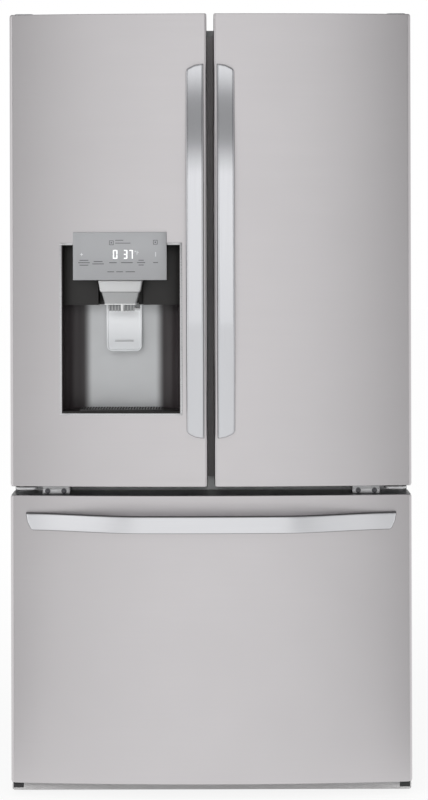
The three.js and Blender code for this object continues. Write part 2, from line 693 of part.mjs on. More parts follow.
// A hub with twisted blades round the axis x or y, over a fixed shaft.
function fan(axis, centre, [from, to], radius, hub, shaft, blades) {
  let wheel = rod(axis, centre, hub, from, to, 16);
  const middle = (from + to) / 2;
  const depth = (to - from) / 2 - 2;
  const place = {
    x: (u, v, w) => [w, centre[0] + u, centre[1] + v],
    y: (u, v, w) => [centre[0] + u, w, centre[1] + v],
  }[axis];
  for (let b = 0; b < blades; b++) {
    const rings = [0, 0.5, 1].map((t) => {
      const r = hub - 4 + (radius - hub + 4) * t;
      const sweep = (0.62 - 0.12 * t) * Math.PI / blades;
      const twist = depth * (1 - 0.35 * t);
      const lean = 2 * Math.PI * b / blades + 0.25 * t;
      const corner = (k, w) => place(r * Math.cos(lean + k * sweep), r * Math.sin(lean + k * sweep), w);
      return [
        corner(-1, middle - twist - 1), corner(1, middle + twist - 1),
        corner(1, middle + twist + 1), corner(-1, middle - twist + 1),
      ];
    });
    wheel = join(wheel, loft(rings));
  }
  return cut(wheel, rod(axis, centre, shaft + SEAT, from - 1, to - FAN_NOSE, 12));
}

// ---------- hinges ----------

function topHinge(side) {
  const low = CASE_TOP + SEAT;
  const high = HINGE_COVER_TOP - 2.2;
  const base = block(sided(side, CASE_HALF - 72, CASE_HALF - 8), [6, 88], [low, low + HINGE_PLATE]);
  const riser = block(sided(side, CASE_HALF - 50, CASE_HALF - 8), [6, 6 + HINGE_PLATE], [low, high]);
  const arm = prism('z',
    roundRect(sided(side, CASE_HALF - 50, CASE_HALF - 8), [-PIVOT_FRONT - 15, 6 + HINGE_PLATE], 8),
    high - HINGE_PLATE, high);
  const pin = rod('z', [side * PIVOT_X, -PIVOT_FRONT], PIN_RADIUS, DOOR_TOP - PIN_DEPTH, high - 1, 14);
  const screws = [[CASE_HALF - 24, 30], [CASE_HALF - 24, 70], [CASE_HALF - 58, 50]].map(([x, y]) => rod(
    'z', [side * x, y], 6, low + 1, low + HINGE_PLATE + 3, 6,
  ));
  return join(base, riser, arm, pin, ...screws);
}

function hingeCover(side) {
  const xs = sided(side, CASE_HALF - 82, CASE_HALF);
  const shell = prism('z', roundRect(xs, [1, 118], 7), CASE_TOP + SEAT, HINGE_COVER_TOP);
  const hollow = block(sided(side, CASE_HALF - 79.5, CASE_HALF - 3), [4, 115],
    [CASE_TOP, HINGE_COVER_TOP - 1.8]);
  const mouth = block(sided(side, CASE_HALF - 52, CASE_HALF - 6), [0, 5],
    [CASE_TOP, HINGE_COVER_TOP - 1.8]);
  return cut(shell, hollow, mouth);
}

// Plate on the divider between the compartments, with an arm that carries the door.
function midHinge(side) {
  const face = [-HINGE_PLATE - SEAT, -SEAT];
  const plateLow = DIVIDER_MIDDLE - 16;
  const plateHigh = DIVIDER_MIDDLE + 16;
  const plate = block(sided(side, PIVOT_X - 110, PIVOT_X + 13), face, [plateLow, plateHigh]);
  const arm = prism('z',
    roundRect(sided(side, PIVOT_X - 34, PIVOT_X + 13), [-PIVOT_FRONT - 18, face[1]], 8),
    MID_ARM_LOW, MID_ARM_HIGH);
  const pin = rod('z', [side * PIVOT_X, -PIVOT_FRONT], PIN_RADIUS, MID_ARM_LOW + 1,
    DOOR_BOTTOM + PIN_DEPTH, 14);
  const screws = [PIVOT_X - 95, PIVOT_X - 64].map((x) =>
    rod('y', [side * x, DIVIDER_MIDDLE], 6, face[0] - 3, face[1] - 1, 6));
  return join(plate, arm, pin, ...screws);
}

const pinHole = (side, low, high) => rod(
  'z', [side * PIVOT_X, -PIVOT_FRONT], PIN_RADIUS + RUNNING, low, high, 14,
);

// ---------- doors ----------

const doorSpan = (side) => sided(side, CENTRE_HALF, HALF);
const doorRadii = (side) => side > 0 ? [CENTRE_RADIUS, SIDE_RADIUS] : [SIDE_RADIUS, CENTRE_RADIUS];
const damX = (side) => sided(side, DAM_CENTRE, DAM_SIDE);
const pocketX = (side) => sided(side, DAM_CENTRE + DAM_WALL, DAM_SIDE - DAM_WALL);
const damZ = [FRESH_FLOOR + DAM_END_PLAY, FRESH_CEILING - DAM_END_PLAY];
const pocketZ = [damZ[0] + DAM_WALL, damZ[1] - DAM_WALL];

function freshDoorBlank(side) {
  const core = doorCore(doorSpan(side), doorRadii(side), [DOOR_BOTTOM, DOOR_TOP], DOOR_STEPS);
  return cut(
    join(core, prism('y', roundRect(damX(side), damZ, DAM_RADIUS), BACK_GAP - 1, DAM_REACH)),
    pinHole(side, DOOR_TOP - PIN_DEPTH - 1, DOOR_TOP + 1),
    pinHole(side, DOOR_BOTTOM - 1, DOOR_BOTTOM + PIN_DEPTH + 1),
  );
}

function rightDoorCore() {
  return cut(freshDoorBlank(1), block(pocketX(1), [BACK_GAP - POCKET, DAM_REACH + 1], pocketZ));
}

const nicheFace = frontY((NICHE_LEFT + NICHE_RIGHT) / 2);
const nicheBack = nicheFace + NICHE_DEPTH;

// Plan of the dispenser recess: straight at the mouth, rounded into the back wall.
function nichePlan(grow) {
  const left = NICHE_LEFT - grow;
  const right = NICHE_RIGHT + grow;
  const back = nicheBack + grow;
  const radius = NICHE_RADIUS + grow;
  return [
    [left, -FRONT - 20],
    [right, -FRONT - 20],
    ...arc(right - radius, back - radius, radius, 0, Math.PI / 2, 5),
    ...arc(left + radius, back - radius, radius, Math.PI / 2, Math.PI, 5),
  ];
}

const nicheSpace = (grow) => prism('z', nichePlan(grow), NICHE_BOTTOM - grow, NICHE_TOP + grow);

// Ice falls straight down from the ice room, then forward through the nozzle.
function iceDuct(grow) {
  const xs = [CHUTE_X - DUCT_WIDTH / 2 - grow, CHUTE_X + DUCT_WIDTH / 2 + grow];
  const back = BACK_GAP - ICE_ROOM_DEPTH + DUCT_DEPTH + 2;
  const ys = [back - DUCT_DEPTH - grow, back + grow];
  const shift = -16;
  return join(
    block(xs, ys, [PANEL_BOTTOM - 1, ICE_ROOM_FLOOR + 1]),
    loft([
      rectangleRing(xs, ys, PANEL_BOTTOM),
      rectangleRing(xs, ys.map((y) => y + shift), HOOD_BOTTOM - 1),
    ]),
  );
}

function leftDoorCore() {
  const room = [pocketX(-1), [BACK_GAP - ICE_ROOM_DEPTH, DAM_REACH + 1],
    [ICE_ROOM_FLOOR, ICE_ROOM_CEILING]];
  const binPocket = block(pocketX(-1), [BACK_GAP, DAM_REACH + 1],
    [pocketZ[0], BIN_LEVELS[0] + LEFT_BIN_HEIGHT + 10]);
  const core = cut(freshDoorBlank(-1), block(...room), binPocket, nicheSpace(SEAT), iceDuct(0));
  return join(core, ...flapHinges());
}

function leftDoorSkin() {
  const skin = doorSkin(doorSpan(-1), doorRadii(-1), [DOOR_BOTTOM + 0.5, DOOR_TOP - 0.5], DOOR_STEPS);
  return cut(skin, nicheSpace(SEAT));
}

const rightDoorSkin = () =>
  doorSkin(doorSpan(1), doorRadii(1), [DOOR_BOTTOM + 0.5, DOOR_TOP - 0.5], DOOR_STEPS);

const doorGasket = (side) => gasket(
  sided(side, CENTRE_HALF + GASKET_CENTRE, HALF - GASKET_SIDE),
  [DOOR_BOTTOM + GASKET_END, CASE_TOP - 14],
);

// A bin hung between the side walls of the door liner.
function doorBin(side, level, height, back) {
  const [x0, x1] = pocketX(side);
  const top = level + height;
  const bin = tray([x0 + SEAT, x1 - SEAT], [back + SEAT, BIN_REACH], [level, top], BIN_WALL, 16);
  const window = block([x0 + 30, x1 - 30], [BIN_REACH - 10, BIN_REACH + 1], [top - 22, top + 1]);
  return cut(bin, window);
}

const flapZ = [FRESH_FLOOR + FLAP_END_PLAY, FRESH_CEILING - FLAP_END_PLAY];

// Ears on the left door, above and below the flap, with the pins that it turns on.
function flapHinges() {
  const x = -FLAP_PIVOT_X;
  return [[flapZ[0] - SEAT, -1], [flapZ[1] + SEAT, 1]].flatMap(([z, way]) => {
    const ear = block([x - 12, x + 3.5], [BACK_GAP - 1, FLAP_PIVOT_Y + 6], [z, z + 5 * way]);
    const pin = [z + 4 * way, z - 18 * way].sort((a, b) => a - b);
    return [ear, rod('z', [x, FLAP_PIVOT_Y], FLAP_PIN, ...pin, 12)];
  });
}

// Folding flap on the left door. At rest it is folded back beside the door liner.
function centreFlap() {
  const x = -FLAP_PIVOT_X;
  const xs = [x - FLAP_THICK / 2 - 4, x + FLAP_THICK / 2 - 4];
  const zs = flapZ;
  const ys = [FLAP_PIVOT_Y - 6, FLAP_PIVOT_Y - 6 + FLAP_LENGTH];
  const flap = prism('z', roundRect(xs, ys, 5, 2), ...zs);
  const hole = rod('z', [x, FLAP_PIVOT_Y], FLAP_PIN + SEAT, zs[0] - 1, zs[1] + 1, 12);
  return cut(flap, hole);
}

// ---------- dispenser ----------

function dispenserHousing() {
  const plan = nichePlan(0);
  const shell = cut(
    prism('z', plan, NICHE_BOTTOM, NICHE_TOP),
    prism('z', nichePlan(-NICHE_WALL), NICHE_BOTTOM + NICHE_WALL + 4, NICHE_TOP - NICHE_WALL),
  );
  const hood = cut(
    prism('z', plan, HOOD_BOTTOM, NICHE_TOP),
    block([NICHE_LEFT - 1, NICHE_RIGHT + 1], [-FRONT - 30, nicheFace + HOOD_SETBACK], [0, NICHE_TOP + 1]),
  );
  const keep = prism('z', [
    ...frontArc(NICHE_LEFT - 10, NICHE_RIGHT + 10, BEZEL_PROUD, 6),
    [NICHE_RIGHT + 10, 40], [NICHE_LEFT - 10, 40],
  ], NICHE_BOTTOM - 10, NICHE_TOP + 10);
  const bezel = cut(
    frontBand([NICHE_LEFT - BEZEL, NICHE_RIGHT + BEZEL], [SEAT, BEZEL_PROUD],
      [NICHE_BOTTOM - BEZEL, NICHE_TOP + BEZEL]),
    block([NICHE_LEFT + 1, NICHE_RIGHT - 1], [-FRONT - 30, 0], [NICHE_BOTTOM + 1, NICHE_TOP - 1]),
    block([PANEL_LEFT - SEAT, PANEL_RIGHT + SEAT], [-FRONT - 30, 0], [PANEL_BOTTOM - SEAT, PANEL_TOP + 1]),
  );
  const chuteRoom = block(
    [CHUTE_X - CHUTE_TOP_WIDTH / 2 - SEAT, CHUTE_X + CHUTE_TOP_WIDTH / 2 + SEAT],
    [nicheFace + HOOD_SETBACK - 1, chuteBack + SEAT],
    [HOOD_BOTTOM - 1, NICHE_TOP - NICHE_WALL],
  );
  const panelRoom = frontBand([PANEL_LEFT - SEAT, PANEL_RIGHT + SEAT], [0, PANEL_PROUD],
    [PANEL_BOTTOM, PANEL_TOP]);
  let housing = cut(join(shell.intersect(keep), hood, bezel), chuteRoom, panelRoom, iceDuct(0));
  const slots = 9;
  for (let i = 0; i < slots; i++) {
    const x = NICHE_LEFT + 62 + i * (NICHE_RIGHT - NICHE_LEFT - 124) / (slots - 1);
    housing = cut(housing, block([x - 3, x + 3], [nicheFace + 22, nicheBack - 16],
      [NICHE_BOTTOM + NICHE_WALL, NICHE_BOTTOM + NICHE_WALL + 5]));
  }
  return housing;
}

const chuteBack = BACK_GAP - ICE_ROOM_DEPTH + DUCT_DEPTH + 5;

function controlPanel() {
  const xs = [PANEL_LEFT, PANEL_RIGHT];
  const face = frontBand(xs, [SEAT, PANEL_PROUD], [PANEL_BOTTOM, PANEL_TOP]);
  const bodyZ = [PANEL_BOTTOM + 2, NICHE_TOP - NICHE_WALL - SEAT];
  const keep = prism('z',
    [...frontArc(PANEL_LEFT, PANEL_RIGHT, 1, 6), [PANEL_RIGHT, 40], [PANEL_LEFT, 40]], ...bodyZ);
  const body = block([PANEL_LEFT + 2, PANEL_RIGHT - 2],
    [-FRONT - 10, nicheFace + HOOD_SETBACK - SEAT], bodyZ);
  return join(face, body.intersect(keep));
}

// Tapered nozzle under the panel, with the ice passage through it and ears for the paddle.
function iceChute() {
  const half = CHUTE_TOP_WIDTH / 2;
  const mouth = CHUTE_MOUTH_WIDTH / 2;
  const top = PANEL_BOTTOM - SEAT;
  const front = nicheFace + 5;
  const nozzle = loft([
    rectangleRing([CHUTE_X - mouth, CHUTE_X + mouth], [front + 14, chuteBack - 4], HOOD_BOTTOM + 1),
    rectangleRing([CHUTE_X - mouth - 4, CHUTE_X + mouth + 4], [front + 6, chuteBack], HOOD_BOTTOM + 26),
    rectangleRing([CHUTE_X - half + 4, CHUTE_X + half - 4], [front, chuteBack], top - 24),
    rectangleRing([CHUTE_X - half, CHUTE_X + half], [front - 1, chuteBack], top),
  ]);
  const neck = block(
    [CHUTE_X - half, CHUTE_X + half],
    [nicheFace + HOOD_SETBACK + SEAT, chuteBack],
    [top - 3, NICHE_TOP - NICHE_WALL - SEAT],
  );
  const ears = [-1, 1].map((side) => block(
    earX(side), [paddleY - 5, paddleY + 5], [paddleTop - 5, HOOD_BOTTOM + 8],
  ));
  const holes = rod('x', [paddleY, paddleTop], PADDLE_PIN + SEAT, PADDLE_X - 60, PADDLE_X + 60, 12);
  return cut(join(nozzle, neck, ...ears), iceDuct(0), holes);
}

const paddleY = nicheFace + PADDLE_SETBACK;
const paddleTop = HOOD_BOTTOM - 8;
const earX = (side) =>
  sided(1, PADDLE_X + side * (PADDLE_WIDTH / 2 - 6), PADDLE_X + side * (PADDLE_WIDTH / 2 - 10));

function paddle() {
  const half = PADDLE_WIDTH / 2;
  const outline = roundRect([PADDLE_X - half, PADDLE_X + half],
    [paddleTop - PADDLE_HEIGHT + 4, paddleTop + 4], 9, 4);
  const plate = prism('y', outline, paddleY - PADDLE_THICK / 2, paddleY + PADDLE_THICK / 2);
  const slots = [-1, 1].map((side) => {
    const [a, b] = earX(side);
    return block([Math.min(a, b) - RUNNING, Math.max(a, b) + RUNNING], [paddleY - 8, paddleY + 8],
      [paddleTop - 9, paddleTop + 9]);
  });
  const pin = rod('x', [paddleY, paddleTop], PADDLE_PIN, PADDLE_X - half + 2, PADDLE_X + half - 2, 12);
  return join(cut(plate, ...slots), pin);
}

const iceX = [pocketX(-1)[0] + 2, pocketX(-1)[1] - 2];
const iceY = [BACK_GAP - ICE_ROOM_DEPTH + SEAT, ICE_REACH];
const augerY = iceY[0] + AUGER_RADIUS + BIN_WALL + 4;
const augerZ = ICE_ROOM_FLOOR + AUGER_RADIUS + BIN_WALL + 5;

function iceBin() {
  const zs = [ICE_ROOM_FLOOR + SEAT, ICE_ROOM_FLOOR + ICE_BIN_HEIGHT];
  const outlet = block(
    [CHUTE_X - DUCT_WIDTH / 2, CHUTE_X + DUCT_WIDTH / 2],
    [BACK_GAP - ICE_ROOM_DEPTH + 2, BACK_GAP - ICE_ROOM_DEPTH + DUCT_DEPTH + 2],
    [zs[0] - 1, zs[0] + BIN_WALL + 1],
  );
  const bearings = rod('x', [augerY, augerZ], AUGER_SHAFT + SEAT, iceX[0] - 1, iceX[1] + 1, 12);
  return cut(tray(iceX, iceY, zs, BIN_WALL, 12), outlet, bearings);
}

// A bar wound as a screw between two discs, on a straight shaft.
function iceAuger() {
  const from = iceX[0] + BIN_WALL + 8;
  const to = iceX[1] - BIN_WALL - 8;
  const discs = [[from, from + AUGER_DISC], [to - AUGER_DISC, to]];
  const inner = [from + AUGER_DISC / 2, to - AUGER_DISC / 2];
  const steps = AUGER_TURNS * 12;
  const rings = [];
  for (let i = 0; i <= steps; i++) {
    const x = inner[0] + (inner[1] - inner[0]) * i / steps;
    const angle = 2 * Math.PI * AUGER_TURNS * i / steps;
    const point = (dx, r) => [x + dx, augerY + r * Math.cos(angle), augerZ + r * Math.sin(angle)];
    const low = AUGER_RADIUS - AUGER_BAR - 1;
    const high = AUGER_RADIUS - 1;
    rings.push([point(-2, low), point(2, low), point(2, high), point(-2, high)]);
  }
  const shaft = rod('x', [augerY, augerZ], AUGER_SHAFT, iceX[0] + SEAT, iceX[1] - SEAT, 12);
  const ends = discs.map(([a, b]) => rod('x', [augerY, augerZ], AUGER_RADIUS, a, b, 16));
  return join(loft(rings), shaft, ...ends);
}

function iceMaker() {
  const low = ICE_ROOM_FLOOR + ICE_BIN_HEIGHT + 12;
  const top = ICE_ROOM_CEILING - SEAT;
  const body = block([iceX[0] + 20, iceX[1] - 20], [BACK_GAP - ICE_ROOM_DEPTH + SEAT, DAM_REACH - 6],
    [low + 40, top]);
  let mould = block([iceX[0] + 40, iceX[1] - 60], [BACK_GAP - ICE_ROOM_DEPTH + 8, DAM_REACH - 14],
    [low, low + 41]);
  const cups = 5;
  const span = (iceX[1] - iceX[0] - 112) / cups;
  for (let i = 0; i < cups; i++) {
    const x = iceX[0] + 46 + i * span;
    mould = cut(mould,
      block([x, x + span - 6], [BACK_GAP - ICE_ROOM_DEPTH + 14, DAM_REACH - 13], [low + 12, low + 36]));
  }
  return join(body, mould);
}

// ---------- fresh-food fittings ----------

const ladderX = [-CAVITY_HALF + 34, 0, CAVITY_HALF - 34];
const ductFront = FRESH_DEPTH - SEAT - DUCT_PANEL_THICK;
const ladderFront = ductFront - LADDER_PROUD;

// Back panel with the air duct, its outlets and three slotted shelf ladders.
function backDuct() {
  const half = CAVITY_HALF - 12;
  const low = FRESH_FLOOR + 252;
  const high = FRESH_CEILING - 30;
  const back = FRESH_DEPTH - SEAT;
  let panel = prism('y', roundRect([-half, half], [low, high], 16), ductFront, back);
  for (const side of [-1, 1]) {
    panel = join(panel, block(sided(side, 70, 150), [ductFront - 14, back], [low + 30, high - 30]));
    for (let z = low + 80; z < high - 60; z += 2 * LADDER_PITCH) {
      panel = cut(panel, block(sided(side, 82, 138), [ductFront - 15, ductFront - 6], [z, z + 10]));
    }
  }
  for (const x of ladderX) {
    panel = join(panel,
      block([x - LADDER_WIDTH / 2, x + LADDER_WIDTH / 2], [ladderFront, back], [low + 10, high - 10]));
    for (let z = low + 30; z < high - 30; z += LADDER_PITCH) {
      panel = cut(panel, block([x - 3, x + 3], [ladderFront - 1, ladderFront + 7], [z, z + 22]));
    }
  }
  return panel;
}

// Glass in a moulded rim, carried by an arm at each side that hooks on a ladder.
function shelf([x0, x1], top) {
  const back = ladderFront - SEAT;
  const plate = block([x0, x1], [SHELF_FRONT, back - 14], [top - SHELF_GLASS, top]);
  const lip = prism('x', [
    [SHELF_FRONT - 6, top + 3], [SHELF_FRONT - 8, top - SHELF_RIM + 4], [SHELF_FRONT - 4, top - SHELF_RIM],
    [SHELF_FRONT + 8, top - SHELF_RIM], [SHELF_FRONT + 8, top + 3],
  ], x0, x1);
  const rear = block([x0, x1], [back - 22, back - 10], [top - 10, top + 8]);
  const arm = [
    [SHELF_FRONT + 2, top - 12], [back, top - 52], [back, top + 8],
    [back - 16, top + 8], [SHELF_FRONT + 2, top - 2],
  ];
  const arms = [[x0, x0 + 3], [x1 - 3, x1]].map(([a, b]) => prism('x', arm, a, b));
  return join(plate, lip, rear, ...arms);
}

const shelfHalf = (side) => sided(side, SHELF_EDGE, CAVITY_HALF - SHELF_EDGE - 20);

// Full-width glass cover over the two crispers, with the post between them.
function crisperCover() {
  const half = CAVITY_HALF - 2;
  const back = FRESH_DEPTH - 60;
  const plate = block([-half, half], [SHELF_FRONT - 6, back], [CRISPER_COVER, CRISPER_COVER + SHELF_GLASS]);
  const lip = block([-half, half], [SHELF_FRONT - 12, SHELF_FRONT - 4], [CRISPER_COVER, CRISPER_COVER + 9]);
  const post = block([-CRISPER_POST / 2, CRISPER_POST / 2], [SHELF_FRONT - 4, back],
    [FRESH_FLOOR + SEAT, CRISPER_COVER + 1]);
  return join(plate, lip, post);
}

// Clear drawer that runs on the compartment floor, with a leaning front and a grip.
function crisper(side) {
  const xs = sided(side, CRISPER_POST / 2 + 2, CAVITY_HALF - CAVITY_RADIUS);
  const low = FRESH_FLOOR + SEAT;
  const high = low + CRISPER_HEIGHT;
  const back = FRESH_DEPTH - 70;
  const profile = (wall, top) => [
    [CRISPER_FRONT + 8 + wall, low + wall], [back - wall, low + wall],
    [back - wall, top], [CRISPER_FRONT + wall * 1.2, top],
    [CRISPER_FRONT + wall * 1.2, low + 40],
  ];
  const body = cut(
    prism('x', profile(0, high), ...xs),
    prism('x', profile(CRISPER_WALL, high + 1), xs[0] + CRISPER_WALL, xs[1] - CRISPER_WALL),
  );
  const middle = (xs[0] + xs[1]) / 2;
  const grip = block([middle - 60, middle + 60], [CRISPER_FRONT - 1, CRISPER_FRONT + 5],
    [high - 46, high - 24]);
  return cut(body, grip);
}

// ---------- freezer ----------

const drawerSpan = [-HALF, HALF];
const drawerRadii = [SIDE_RADIUS, SIDE_RADIUS];
const railHigh = RAIL_LOW + RAIL_HEIGHT;
const railOuter = CAVITY_HALF - SEAT;
const railBack = 12 + RAIL_LENGTH;

// Telescopic slide: outer channel on the wall, middle channel, inner bar on the drawer.
function slideOuter(side) {
  const xs = [railOuter - 13, railOuter];
  return cut(
    block(sided(side, ...xs), [12, railBack], [RAIL_LOW, railHigh]),
    block(sided(side, xs[0] - 1, xs[1] - RAIL_STEEL), [11, railBack - 4],
      [RAIL_LOW + RAIL_STEEL, railHigh - RAIL_STEEL]),
  );
}

const middleX = [railOuter - 19, railOuter - RAIL_STEEL - RUNNING];
const middleZ = [RAIL_LOW + RAIL_STEEL + RUNNING, railHigh - RAIL_STEEL - RUNNING];

function slideMiddle(side) {
  return cut(
    block(sided(side, ...middleX), [12, railBack - 6], middleZ),
    block(sided(side, middleX[0] - 1, middleX[1] - RAIL_STEEL), [11, railBack - 5],
      [middleZ[0] + RAIL_STEEL, middleZ[1] - RAIL_STEEL]),
  );
}

const innerZ = [middleZ[0] + RAIL_STEEL + RUNNING, middleZ[1] - RAIL_STEEL - RUNNING];
const innerX = [railOuter - 31, middleX[1] - RAIL_STEEL - RUNNING];

function drawerCore() {
  const core = doorCore(drawerSpan, drawerRadii, [DRAWER_BOTTOM, DRAWER_TOP], DRAWER_STEPS);
  const damZs = [FREEZER_FLOOR + 8, FREEZER_CEILING - 8];
  const dam = cut(
    prism('y', roundRect([-DAM_SIDE, DAM_SIDE], damZs, DAM_RADIUS), BACK_GAP - 1, 10),
    block([-DAM_SIDE + 26, DAM_SIDE - 26], [BACK_GAP - 2, 11], [damZs[0] + 26, damZs[1] - 26]),
  );
  const hollow = block([-DAM_SIDE + 30, DAM_SIDE - 30], [BACK_GAP - 8, BACK_GAP + 1],
    [FREEZER_FLOOR + 38, FREEZER_CEILING - 38]);
  const bars = [-1, 1].map((side) => block(sided(side, ...innerX), [BACK_GAP - 1, railBack - 8], innerZ));
  return join(cut(join(core, dam), hollow), ...bars);
}

const drawerSkin = () =>
  doorSkin(drawerSpan, drawerRadii, [DRAWER_BOTTOM + 0.5, DRAWER_TOP - 0.5], DRAWER_STEPS);

const drawerGasket = () => gasket(
  [-HALF + GASKET_SIDE, HALF - GASKET_SIDE],
  [FREEZER_FLOOR - 22, DRAWER_TOP - GASKET_END],
);

// Deep basket hung by its rim on the two drawer bars.
function freezerBasket() {
  const rimHalf = innerX[0] + 12;
  const half = innerX[0] - 2;
  const rimLow = innerZ[1] + SEAT;
  const wall = BASKET_WALL;
  const ring = (x, y0, y1, z) => rectangleRing([-x, x], [y0, y1], z);
  const body = loft([
    ring(half - 18, BASKET_FRONT + 12, BASKET_BACK - 12, BASKET_FLOOR),
    ring(half, BASKET_FRONT, BASKET_BACK, rimLow + 3),
  ]);
  const hollow = loft([
    ring(half - 18 - wall, BASKET_FRONT + 12 + wall, BASKET_BACK - 12 - wall, BASKET_FLOOR + wall),
    ring(half - wall, BASKET_FRONT + wall, BASKET_BACK - wall, rimLow + 8),
  ]);
  const rim = block([-rimHalf, rimHalf], [BASKET_FRONT - 2, BASKET_BACK], [rimLow, BASKET_TOP - 4]);
  let basket = cut(join(body, rim), hollow);
  const ribs = 7;
  for (let i = 0; i < ribs; i++) {
    const x = -240 + i * 80;
    basket = join(basket,
      block([x - 2, x + 2], [BASKET_FRONT + 20, BASKET_BACK - 20],
      [BASKET_FLOOR + 1, BASKET_FLOOR + wall + 3]));
  }
  return basket;
}

// Shallow pull-out tray on moulded ledges above the basket.
function upperTray() {
  const half = CAVITY_HALF - 15;
  const body = tray([-half, half], [BASKET_FRONT + 6, TRAY_BACK], [TRAY_FLOOR, TRAY_TOP], 3, TRAY_RADIUS);
  const wings = [-1, 1].map((side) => block(
    sided(side, half - 1, CAVITY_HALF - 2), [BASKET_FRONT + 20, TRAY_BACK - 10],
    [TRAY_LEDGE + SEAT, TRAY_LEDGE + 6],
  ));
  const grip = block([-70, 70], [BASKET_FRONT + 5, BASKET_FRONT + 12], [TRAY_TOP - 34, TRAY_TOP - 14]);
  return cut(join(body, ...wings), grip);
}

// Cover over the evaporator, with outlets, the fan opening and the fan's motor post.
function evaporatorCover() {
  const half = CAVITY_HALF - SEAT - 1;
  const low = STEP_HEIGHT + SEAT;
  const back = COVER_FRONT + COVER_THICK;
  const fan = [0, EVAPORATOR_FAN_Z];
  const high = FREEZER_CEILING - SEAT - 1;
  const shell = (grow, front, end) => prism('y', roundRect(
    [-half - grow, half + grow], [low - grow, high + grow], FREEZER_RADIUS + grow,
  ), front, end);
  let cover = cut(shell(0, COVER_FRONT, back), shell(-4, COVER_FRONT + 4, back + 1));
  cover = cut(cover, rod('y', fan, EVAPORATOR_FAN_RADIUS - 10, COVER_FRONT - 1, back, 20));
  for (let i = 0; i < 5; i++) {
    for (const side of [-1, 1]) {
      const z = low + 40 + i * 26;
      cover = cut(cover, block(sided(side, 110, CAVITY_HALF - 74.5), [COVER_FRONT - 1, COVER_FRONT + 6], [z, z + 9]));
    }
  }
  const bar = block([-EVAPORATOR_FAN_RADIUS, EVAPORATOR_FAN_RADIUS], [COVER_FRONT, COVER_FRONT + 5],
    [EVAPORATOR_FAN_Z - 9, EVAPORATOR_FAN_Z + 9]);
  const motor = rod('y', fan, 16, COVER_FRONT, COVER_FRONT + 22, 14);
  const shaft = rod('y', fan, EVAPORATOR_FAN_SHAFT, COVER_FRONT,
    COVER_FRONT + 26 + FAN_DEPTH - FAN_NOSE - SEAT, 10);
  return join(cover, bar, motor, shaft);
}

// ---------- assembly ----------

const refrigerator = new THREE.Group();

function add(name, solid, material) {
  const mesh = new THREE.Mesh(toGeometry(solid), material);
  mesh.name = name;
  refrigerator.add(mesh);
}

const SIDES = [['left', -1], ['right', 1]];

add('outer_case', outerCase(), CASE_PAINT());
add('rear_panel', rearPanel(), GALVANISED());
add('cabinet_foam', cabinetFoam(), FOAM());
add('inner_liner', innerLiner(), WHITE());
add('machine_cover', machineCover(), DARK());
add('base_pan', basePan(), GALVANISED());
add('kick_strip', kickStrip(), MID_GREY());
add('compressor', compressor(), BLACK_METAL());
add('condenser', finnedCoil(
  [CONDENSER_LEFT, CONDENSER_RIGHT], [COMPRESSOR_Y - 70, COMPRESSOR_Y + 70], [CASE_BOTTOM, 205], 14, 4,
), COPPER());
add('condenser_fan', fan(
  'x', [COMPRESSOR_Y, MACHINE_FAN_Z], [MACHINE_FAN_X, MACHINE_FAN_X + FAN_DEPTH],
  MACHINE_FAN_RADIUS, 20, MACHINE_FAN_SHAFT, 5,
), DARK());
add('evaporator', finnedCoil(
  [-CAVITY_HALF + 104.5, CAVITY_HALF - 104.5], [COVER_FRONT + COVER_THICK + 6, FREEZER_DEPTH - 3],
  [STEP_HEIGHT + SEAT, EVAPORATOR_TOP], 16, 4,
), GALVANISED());
add('evaporator_cover', evaporatorCover(), WHITE());
add('evaporator_fan', fan(
  'y', [0, EVAPORATOR_FAN_Z], [COVER_FRONT + 26, COVER_FRONT + 26 + FAN_DEPTH],
  EVAPORATOR_FAN_RADIUS, 15, EVAPORATOR_FAN_SHAFT, 5,
), DARK());
add('back_duct', backDuct(), LIGHT_GREY());
add('lower_shelf', shelf([-shelfHalf(1)[1], shelfHalf(1)[1]], LOWER_SHELF), CLEAR());
add('crisper_cover', crisperCover(), CLEAR());

for (const [name, side] of SIDES) {
  add(`levelling_leg_${name}`, levellingLeg(side), DARK());
  add(`rear_roller_${name}`, roller(side), DARK());
  add(`top_hinge_${name}`, topHinge(side), GALVANISED());
  add(`hinge_cover_${name}`, hingeCover(side), MID_GREY());
  add(`mid_hinge_${name}`, midHinge(side), GALVANISED());
  add(`upper_shelf_${name}`, shelf(shelfHalf(side), UPPER_SHELF), CLEAR());
  add(`crisper_${name}`, crisper(side), CLEAR());
  add(`slide_outer_${name}`, slideOuter(side), GALVANISED());
  add(`slide_middle_${name}`, slideMiddle(side), GALVANISED());
  add(`${name}_door_gasket`, doorGasket(side), SEAL());
  add(`${name}_door_handle`, doorHandle(side), POLISHED());
}

add('left_door_skin', leftDoorSkin(), STEEL());
add('left_door_core', leftDoorCore(), WHITE());
add('left_door_bin', doorBin(-1, BIN_LEVELS[0], LEFT_BIN_HEIGHT, BACK_GAP), CLEAR());
add('centre_flap', centreFlap(), LIGHT_GREY());
add('dispenser_housing', dispenserHousing(), DARK());
add('control_panel', controlPanel(), LIGHT_GREY());
add('ice_chute', iceChute(), LIGHT_GREY());
add('dispenser_paddle', paddle(), WHITE());
add('ice_bin', iceBin(), CLEAR());
add('ice_auger', iceAuger(), LIGHT_GREY());
add('ice_maker', iceMaker(), WHITE());

add('right_door_skin', rightDoorSkin(), STEEL());
add('right_door_core', rightDoorCore(), WHITE());
['lower', 'middle', 'upper'].forEach((name, i) => {
  add(`right_door_bin_${name}`, doorBin(1, BIN_LEVELS[i], BIN_HEIGHT, BACK_GAP - POCKET), CLEAR());
});

